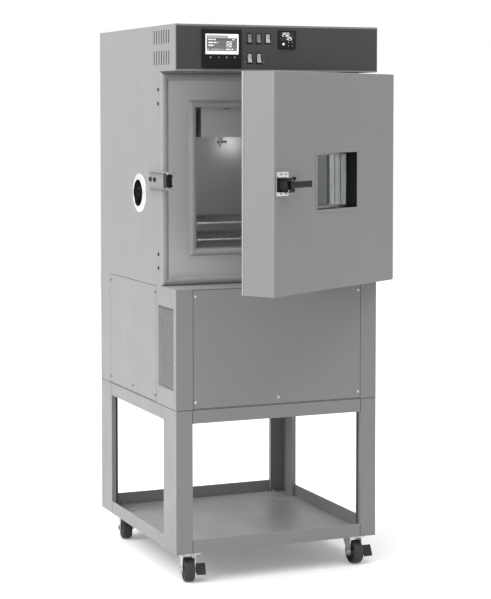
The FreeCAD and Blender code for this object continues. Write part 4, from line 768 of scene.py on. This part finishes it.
# cable port: a thin tube with a broad bright ring whose face falls away at its rim
port = {"at": (-0.292, -0.031, 1.0208), "bore": 0.0365, "tube": 0.0377, "ring": 0.0532, "inner": 0.047,
        "lip": 0.005, "depth": 0.104, "sides": 72}
bore, tube, ring, inner = port["bore"], port["tube"], port["ring"], port["inner"]
lip, depth = port["lip"], port["depth"]
profile = [(bore, lip - 0.0004), (bore + 0.0006, lip), (tube, lip - 0.0002), (tube, 0.0032 - depth),
           (inner, 0.0032 - depth), (inner, 0.0016 - depth), (tube, 0.0014 - depth),
           (bore + 0.0004, -depth), (bore, 0.0002 - depth)]
made = joinPieces("portTube", [lathe(profile, port["at"], (-1, 0, 0), port["sides"])], "cabinet",
                  finishes["chrome"], "chrome")
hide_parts("cable_port")
profile = [(tube, 0.0047), (tube + 0.0008, 0.0044), (tube + 0.0012, 0.0034), (0.8 * ring, 0.0031),
           (0.93 * ring, 0.0026), (0.99 * ring, 0.0014), (ring, 0.0004), (ring, 0.0), (tube, 0.0)]
joinPieces("portRing", [lathe(profile, port["at"], (-1, 0, 0), port["sides"])], "cabinet", finishes["ring"],
           "chrome")
print("cable port")

# wheels: moulded tread with a crown, a groove beside the rim and a hub, the same on both sides
wheel = {"radius": 0.03175, "half": 0.014, "hub": 0.009, "hubHalf": 0.0155, "bore": 0.00405, "rim": 0.025,
         "disc": 0.005, "sides": 56}
headings = {"front_left": 11.0, "front_right": -2.0, "rear_left": 8.5, "rear_right": 5.0}
treadDrop = ((0.0008, 0.0), (0.0018, 0.0), (0.0021, 0.0012), (0.0026, 0.0012), (0.0029, 0.0001),
             (0.0040, 0.0008), (0.0055, 0.0026), (0.0064, 0.0055))  # out from the rim, in from the side
hub, rim, disc, half = wheel["hub"], wheel["rim"], wheel["disc"], wheel["half"]
outerSide = [(hub, wheel["hubHalf"]), (hub + 0.0005, disc), (rim - 0.001, disc), (rim, half - 0.0006)]
outerSide += [(rim + out, half - drop) for out, drop in treadDrop] + [(wheel["radius"], 0.0045)]
profile = [(wheel["bore"], wheel["hubHalf"])] + outerSide + [(a, -c) for a, c in outerSide[::-1]]
profile += [(wheel["bore"], -wheel["hubHalf"])]
for name, heading in headings.items():
    turn = math.radians(heading)
    low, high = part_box("caster_wheel_" + name)
    centre = [(a + b) / 2 for a, b in zip(low, high)]
    shape = lathe(profile, centre, (math.cos(turn), -math.sin(turn), 0), wheel["sides"])
    made = meshPiece("wheel_" + name, *shape, "caster_wheel_" + name, finishes["tread"], "wheel_rubber")
    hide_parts("caster_wheel_" + name)
print("wheels")

# wire shelves: a round rod bent into a frame with straight wires on top of it
shelf = {"rod": 0.0025, "wire": 0.0015, "corner": 0.012, "x": 0.1835, "y": (-0.176, 0.084), "past": 0.001,
         "sunk": 0.0006}
shelfRows = (("shelf_upper", 0.943, 0.019, 18), ("shelf_lower", 0.898, 0.0227, 15))
x, (y0, y1) = shelf["x"], shelf["y"]
for name, level, pitch, count in shelfRows:
    rod = roundedPath([(x, y0, level), (x, y1, level), (-x, y1, level), (-x, y0, level)], shelf["corner"])
    parts = [pipe(rod, shelf["rod"], 12, closed=True)]
    lift = level + shelf["rod"] + shelf["wire"] - shelf["sunk"]
    for index in range(count):
        at = (index - (count - 1) / 2) * pitch
        wire = [(at, y, lift) for y in (y0 - shelf["past"], (y0 + y1) / 2, y1 + shelf["past"])]
        parts.append(pipe(wire, shelf["wire"]))
    made = joinPieces(name + "_wires", parts, name, finishes["zinc"], "zinc", True)
    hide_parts(name)
print("shelves")


def rectRing(spans, profile):
    # each (grow, y) pair becomes a rectangle grown outward that much at that depth; the last meets the first
    x0, x1, z0, z1 = spans
    grow, y = np.array(profile, float).T[:, :, None]
    x = np.array([x0, x1, x1, x0]) + grow * (-1, 1, 1, -1)
    z = np.array([z0, z0, z1, z1]) + grow * (-1, -1, 1, 1)
    points = np.stack([x, np.broadcast_to(y, x.shape), z], -1).reshape(-1, 3)
    return outward(points, gridFaces(len(profile), 4, True, True))


# window of the door: painted trims in front and behind, and a black sleeve between them
window = {"spans": (-0.0956, 0.0992, 0.991, 1.1364), "front": -0.3069, "back": -0.2075, "trim": 0.008,
          "thick": 0.0015, "sleeve": 0.003, "ease": 0.0002}
trim, thick, sleeve, ease = window["trim"], window["thick"], window["sleeve"], window["ease"]
parts = []
for level, out in ((window["front"], -1), (window["back"], 1)):
    profile = [(0.0, 0.0), (0.0, thick - 0.0006), (0.0006, thick), (trim - 0.0012, thick),
               (trim, thick - 0.0009), (trim, 0.0)]
    parts.append(swung(rectRing(window["spans"], [(grow, level + out * rise) for grow, rise in profile])))
made = joinPieces("windowTrims", parts, "door", finishes["enamel"], "black_plastic")
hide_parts("window_frame")
front, back = window["front"] + ease, window["back"] - ease
sleeveRing = rectRing(window["spans"], [(0.0, front), (0.0, back), (sleeve, back), (sleeve, front)])
joinPieces("windowSleeve", [swung(sleeveRing)], "door", finishes["black"], "black_plastic")
print("window")

# latch: plate with four pan heads, cheeks round the slot, an eye on the upper corner and a bar lever
latch = {
    "x": -0.2903, "face": -0.3069, "z": 1.0617, "plate": (0.006, 0.060, -0.0287, 0.0318),
    "plateThick": 0.002, "plateCorner": 0.003, "screwX": (0.0257, 0.0481), "screwZ": (-0.0245, 0.0276),
    "screwRadius": 0.0038, "screwRise": 0.0024, "pin": 0.0025, "pinSpan": (-0.0172, 0.0165),
    "pivot": (0.030, -0.018, 0.0), "eye": (0.0435, -0.0255, 0.0162),
    "rivets": ((0.0335, -0.0300, 0.0120), (0.0165, -0.0300, -0.0140)),
}
# blocks as spans in X, Y and Z from the latch's own corner on the door's face, and their bevel
housingBlocks = (
    (0.012, 0.047, -0.007, -0.002, -0.0187, 0.018, 0.0006),  # base
    (0.012, 0.047, -0.030, -0.003, 0.0089, 0.0165, 0.0014),  # upper cheek
    (0.012, 0.047, -0.030, -0.003, -0.0187, -0.0089, 0.0014),  # lower cheek
    (0.012, 0.014, -0.0295, -0.003, -0.0185, 0.0163, 0.0008),  # side wall
    (0.010, 0.036, -0.0312, -0.0270, 0.0140, 0.0180, 0.0008),  # rim of the upper cheek
    (0.0375, 0.0468, -0.0306, -0.004, -0.0166, -0.0092, 0.0012),  # stop
)
leverBlocks = (
    (0.025, 0.0385, -0.0322, -0.0215, -0.0084, 0.0084, 0.0012),  # root at the pivot
    (0.034, 0.122, -0.0318, -0.0262, -0.0081, 0.0081, 0.0013),  # bar
    (0.050, 0.1165, -0.0323, -0.0300, -0.0058, 0.0058, 0.0006),  # raised rib
    (0.1175, 0.122, -0.0322, -0.0258, -0.0085, 0.0085, 0.0012),  # end
)
eyeProfile = ((0.0012, 0.0), (0.0012, 0.008), (0.0038, 0.008), (0.0038, 0.0))
leverHub = ((0.0028, -0.0085), (0.0028, 0.0085), (0.008, 0.0085), (0.008, -0.0085))
rivetProfile = ((0.0009, 0.0), (0.0016, 0.0002), (0.0016, 0.0006), (0.0011, 0.0011))
x, y, z = latch["x"], latch["face"], latch["z"]


def fromLatch(dx, dy, dz):
    return (x + dx, y + dy, z + dz)


def latchBlocks(spans):
    base = np.array([x, x, y, y, z, z])
    return [block(*(base + span[:6]), span[6]) for span in spans]


x0, x1, z0, z1 = latch["plate"]
thick = latch["plateThick"]
parts = [slab((x + x0, x + x1, z + z0, z + z1), (y, y - thick), latch["plateCorner"])]
parts += [crossHead(fromLatch(dx, -thick, dz), toFront, latch["screwRadius"], latch["screwRise"])
          for dx in latch["screwX"] for dz in latch["screwZ"]]
made = joinPieces("latchPlate", [swung(part) for part in parts], "door", finishes["chrome"], "chrome")
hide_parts("latch_plate")
parts = latchBlocks(housingBlocks)
pin = [(latch["pin"], end) for end in latch["pinSpan"]]
parts.append(lathe(pin, fromLatch(*latch["pivot"]), toTop, 20, loop=False))
parts.append(lathe(softProfile(eyeProfile, 0.0009), fromLatch(*latch["eye"]), toFront, 24))
made = joinPieces("latchHousing", [swung(part) for part in parts], "door", finishes["black"],
                  "black_plastic")
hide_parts("latch_housing")
parts = [lathe(rivetProfile, fromLatch(*spot), toFront, 16, loop=False) for spot in latch["rivets"]]
joinPieces("latchRivets", [swung(part) for part in parts], "door", finishes["zinc"], "chrome")
parts = [lathe(softProfile(leverHub, 0.0007), fromLatch(*latch["pivot"]), toTop, 32)]
parts += latchBlocks(leverBlocks)
made = joinPieces("latchLever", [swung(part) for part in parts], "latch_handle", finishes["black"],
                  "black_plastic")
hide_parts("latch_handle")
print("latch")

# keeper strike: bevelled black block with two ears, a ribbed face and a roller whose bright ends stand out
strike = {"x": (-0.308, -0.292), "y": (-0.2875, -0.2625), "z": (1.0451, 1.0785), "bevel": 0.0012,
          "ear": 0.006, "ribs": 4, "ribPitch": 0.0034, "ribWidth": 0.0012}
roller = {"at": (-0.299, -0.2755, 1.06225), "bore": 0.0012, "radius": 0.005, "half": 0.0202, "soft": 0.0006}
(x0, x1), (y0, y1), (z0, z1) = strike["x"], strike["y"], strike["z"]
parts = [block(x0, x1, y0, y1, z0, z1, strike["bevel"])]
for z in (z0 + 0.0015, z1 - 0.0075):
    parts.append(block(x1 - 0.0042, x1 - 0.0002, y0 - 0.0050, y0 + 0.002, z, z + strike["ear"], 0.0010))
for step in range(strike["ribs"]):
    start = x0 + 0.0022 + step * strike["ribPitch"]
    parts.append(block(start, start + strike["ribWidth"], y0 - 0.0006, y0 + 0.001, z0 + 0.003, z1 - 0.003,
                       0.0002))
made = joinPieces("keeperStrike", parts, "cabinet", finishes["black"], "black_plastic")
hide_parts("keeper_strike")
bore, radius, half = roller["bore"], roller["radius"], roller["half"]
profile = softProfile([(bore, -half), (bore, half), (radius, half), (radius, -half)], roller["soft"])
joinPieces("keeperRoller", [lathe(profile, roller["at"], toTop, 28)], "cabinet", finishes["zinc"], "chrome")
print("keeper")

# air plenum: folded strip along its top edge with two dark rivets
plenum = {"face": -0.1705, "strip": (1.2474, 1.2536), "stripThick": 0.0009, "half": 0.1648,
          "rivets": (-0.0943, -0.0856), "rivetZ": 1.2499, "rivetRadius": 0.0022, "rivetRise": 0.0010}
front, half = plenum["face"] - plenum["stripThick"], plenum["half"]
edge = block(-half, half, front, plenum["face"], *plenum["strip"], 0.0003)
joinPieces("plenumStrip", [edge], "cabinet", finishes["stainless"], "stainless")
parts = [dome(x, plenum["rivetZ"], plenum["rivetRadius"], front + 0.0001, plenum["rivetRise"])
         for x in plenum["rivets"]]
joinPieces("plenumRivets", parts, "cabinet", finishes["blackSteel"], "stainless")

# probe under the plenum: a bright tube with two collars, as (radius, height) from its lower end
probe = {"at": (-0.0675, -0.0640, 1.1435), "soft": 0.0006, "outline": (
    (0.0012, -0.0005), (0.0012, 0.0305), (0.0052, 0.0305), (0.0052, 0.0270), (0.0034, 0.0262),
    (0.0034, 0.0140), (0.0056, 0.0132), (0.0056, 0.0100), (0.0034, 0.0092), (0.0034, -0.0005))}
shape = lathe(softProfile(probe["outline"], probe["soft"]), probe["at"], toTop, 28)
joinPieces("probeTube", [shape], "cabinet", finishes["ring"], "zinc")

# bright lips of the slots in the plenum's left side
slotLip = {"count": 9, "first": 1.1785, "pitch": 0.0086, "height": 0.0030, "x": (-0.1672, -0.1650),
           "y": (-0.1640, -0.1360)}
parts = []
for step in range(slotLip["count"]):
    z = slotLip["first"] + step * slotLip["pitch"]
    parts.append(block(*slotLip["x"], *slotLip["y"], z, z + slotLip["height"], 0.0003))
joinPieces("plenumLips", parts, "cabinet", finishes["liner"], "stainless")
print("plenum")

# perforated corner screens: punched sheets with staggered round holes, and close behind them a black ribbed
# sheet of painted shade that stands in for the dark inside seen through the holes
screen = {"columns": 15, "rows": 28, "pitch": 0.0076, "row": 0.00756, "hole": 0.0030, "sides": 12,
          "thick": 0.0004}
shadeSheet = {"outer": 0.2884, "inner": 0.2880, "inset": 0.0035, "ribs": 12, "ribHalf": 0.0004,
         "ribProud": 0.0002, "ribInset": 0.004, "bevel": 0.0001}
screenLow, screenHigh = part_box("vent_screens")


def makeScreens():
    # each hole is a ring from its circle out to its cell's edge; the rings of all the cells make the sheet
    columns, rows, sides = screen["columns"], screen["rows"], screen["sides"]
    turn = np.arange(sides) * 2 * math.pi / sides + math.pi / 4
    circle = np.stack([np.cos(turn), np.sin(turn)], -1) * screen["hole"]
    halfCell = np.array([screen["pitch"], screen["row"]]) / 2
    square = circle / np.max(np.abs(circle) / halfCell, axis=1)[:, None]
    yMid, zMid = (screenLow[1] + screenHigh[1]) / 2, (screenLow[2] + screenHigh[2]) / 2
    yHalf, zHalf = columns * screen["pitch"] / 2, (rows + 0.5) * screen["row"] / 2
    parts = []
    for side in (-1, 1):
        outer, inner = side * cabinet["side"], side * (cabinet["side"] - screen["thick"])
        rings = ((outer, square), (outer, circle), (inner, circle), (inner, square))
        for column in range(columns):
            y = yMid + (column - (columns - 1) / 2) * screen["pitch"]
            lift = (column % 2 - 0.5) * screen["row"] / 2
            for row in range(rows):
                z = zMid + (row - (rows - 1) / 2) * screen["row"] + lift
                points = np.concatenate([np.column_stack([np.full(sides, x), (y, z) + ring])
                                         for x, ring in rings])
                parts.append(outward(points, gridFaces(4, sides, True, True)))
        # plain margin round the holes, as four bevelled strips flush with the side
        x0, x1 = sorted((outer, inner))
        for margin in ((screenLow[1], yMid - yHalf, screenLow[2], screenHigh[2]),
                       (yMid + yHalf, screenHigh[1], screenLow[2], screenHigh[2]),
                       (yMid - yHalf, yMid + yHalf, screenLow[2], zMid - zHalf),
                       (yMid - yHalf, yMid + yHalf, zMid + zHalf, screenHigh[2])):
            parts.append(block(x0, x1, *margin, 0.0002))
    return parts


def makeShadeSheet():
    # the dark sheet of painted shade: a sheet in Y and Z with fine upright ribs, each rib a narrow block
    inset, ribInset, half, proud = shadeSheet["inset"], shadeSheet["ribInset"], shadeSheet["ribHalf"], shadeSheet["ribProud"]
    (_, y0, z0), (_, y1, z1) = screenLow, screenHigh
    parts = []
    for side in (-1, 1):
        x0, x1 = sorted((side * shadeSheet["outer"], side * shadeSheet["inner"]))
        parts.append(block(x0, x1, y0 + inset, y1 - inset, z0 + inset, z1 - inset, shadeSheet["bevel"]))
        for step in range(1, shadeSheet["ribs"]):
            y = y0 + (y1 - y0) * step / shadeSheet["ribs"]
            parts.append(block(x0 - proud, x1 + proud, y - half, y + half, z0 + ribInset, z1 - ribInset,
                               shadeSheet["bevel"]))
    return parts


# black sheet behind the perforations: painted shade for the unlit inside, not a real filter
joinPieces("ventShadeSheet", makeShadeSheet(), "cabinet", finishes["joint"], "black_plastic")
made = joinPieces("perforatedScreens", makeScreens(), "cabinet", finishes["enamel"], "cabinet_paint")
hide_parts("vent_screens")
print("perforated screens")


def stageObject(name, data, place=(0, 0, 0), turn=(0, 0, 0)):
    made = bpy.data.objects.new(name, data)
    made.location = place
    made.rotation_euler = turn
    bpy.context.scene.collection.objects.link(made)
    return made


# camera, measured from the photo's own perspective
shot = {"place": (-1.8920, -4.5822, 1.2453), "yaw": 22.82, "pitch": 3.22, "lens": 105.72, "shiftY": -0.150}
camera = bpy.data.cameras.new("camera")
camera.lens = shot["lens"]
camera.sensor_width = 36
camera.sensor_fit = "AUTO"
camera.shift_y = shot["shiftY"]
camera.clip_start = 0.05
bpy.context.scene.camera = stageObject("camera", camera, shot["place"], (
    math.radians(90 - shot["pitch"]), 0, math.radians(-shot["yaw"])))

# light: an even white room, a broad soft light from above, a lamp on the left and a weak one inside
studio = {"room": 0.60, "sun": 2.2, "sunAngle": 80, "sunTurn": (6, -14), "floor": 0.95, "bounce": 0.45,
          "lift": 0.18, "floorSize": 14.0}
lamps = {  # place, the point it looks at, size and power
    "leftLamp": ((-3.8, 0.4, 2.9), (0, 0, 1.0), 2.4, 95.0),
    "insideLamp": ((0.06, 0.00, 1.15), (0.03, 0.09, 1.13), 0.05, 0.02),
}
world = bpy.data.worlds.new("studio")
bpy.context.scene.world = world
g = Graph("studio", world)
level = g.seenDirectly() * (1 - studio["room"]) + studio["room"]
g.add("OutputWorld", {"Surface": g.add("Background", {"Color": (1, 1, 1, 1), "Strength": level})})
for name, (place, aim, size, power) in lamps.items():
    lamp = bpy.data.lights.new(name, "AREA")
    lamp.shape = "SQUARE"
    lamp.size = size
    lamp.energy = power
    dx, dy, dz = np.array(aim, float) - np.array(place, float)
    stageObject(name, lamp, place, (math.atan2(math.hypot(dx, dy), -dz), 0, math.atan2(-dx, dy)))
broad = bpy.data.lights.new("broadLight", "SUN")
broad.energy = studio["sun"]
broad.angle = math.radians(studio["sunAngle"])
stageObject("broadLight", broad, turn=(*[math.radians(angle) for angle in studio["sunTurn"]], 0))

# pale floor that shows white to the camera and throws less light back
floorMesh = bpy.data.meshes.new("floor")
half = studio["floorSize"] / 2
corners = [(-half, -half, 0), (half, -half, 0), (half, half, 0), (-half, half, 0)]
floorMesh.from_pydata(corners, [], [(0, 1, 2, 3)])
g = Graph("paleFloor")
pale = g.blend(g.noise(1.2, 4, 0.6), rgb(studio["floor"]), rgb(studio["floor"] * 1.02))
seen = g.seenDirectly()
color = g.blend(seen, rgb(studio["bounce"]), pale)
glow = g.blend(seen, rgb(0.0), rgb(studio["lift"]))
floorMesh.materials.append(g.finish(color=color, rough=0.9, specular=0.1, glow=glow, glowPower=1.0))
stageObject("floor", floorMesh)
bpy.context.scene.view_settings.view_transform = "Standard"
print("camera, lamps and floor")
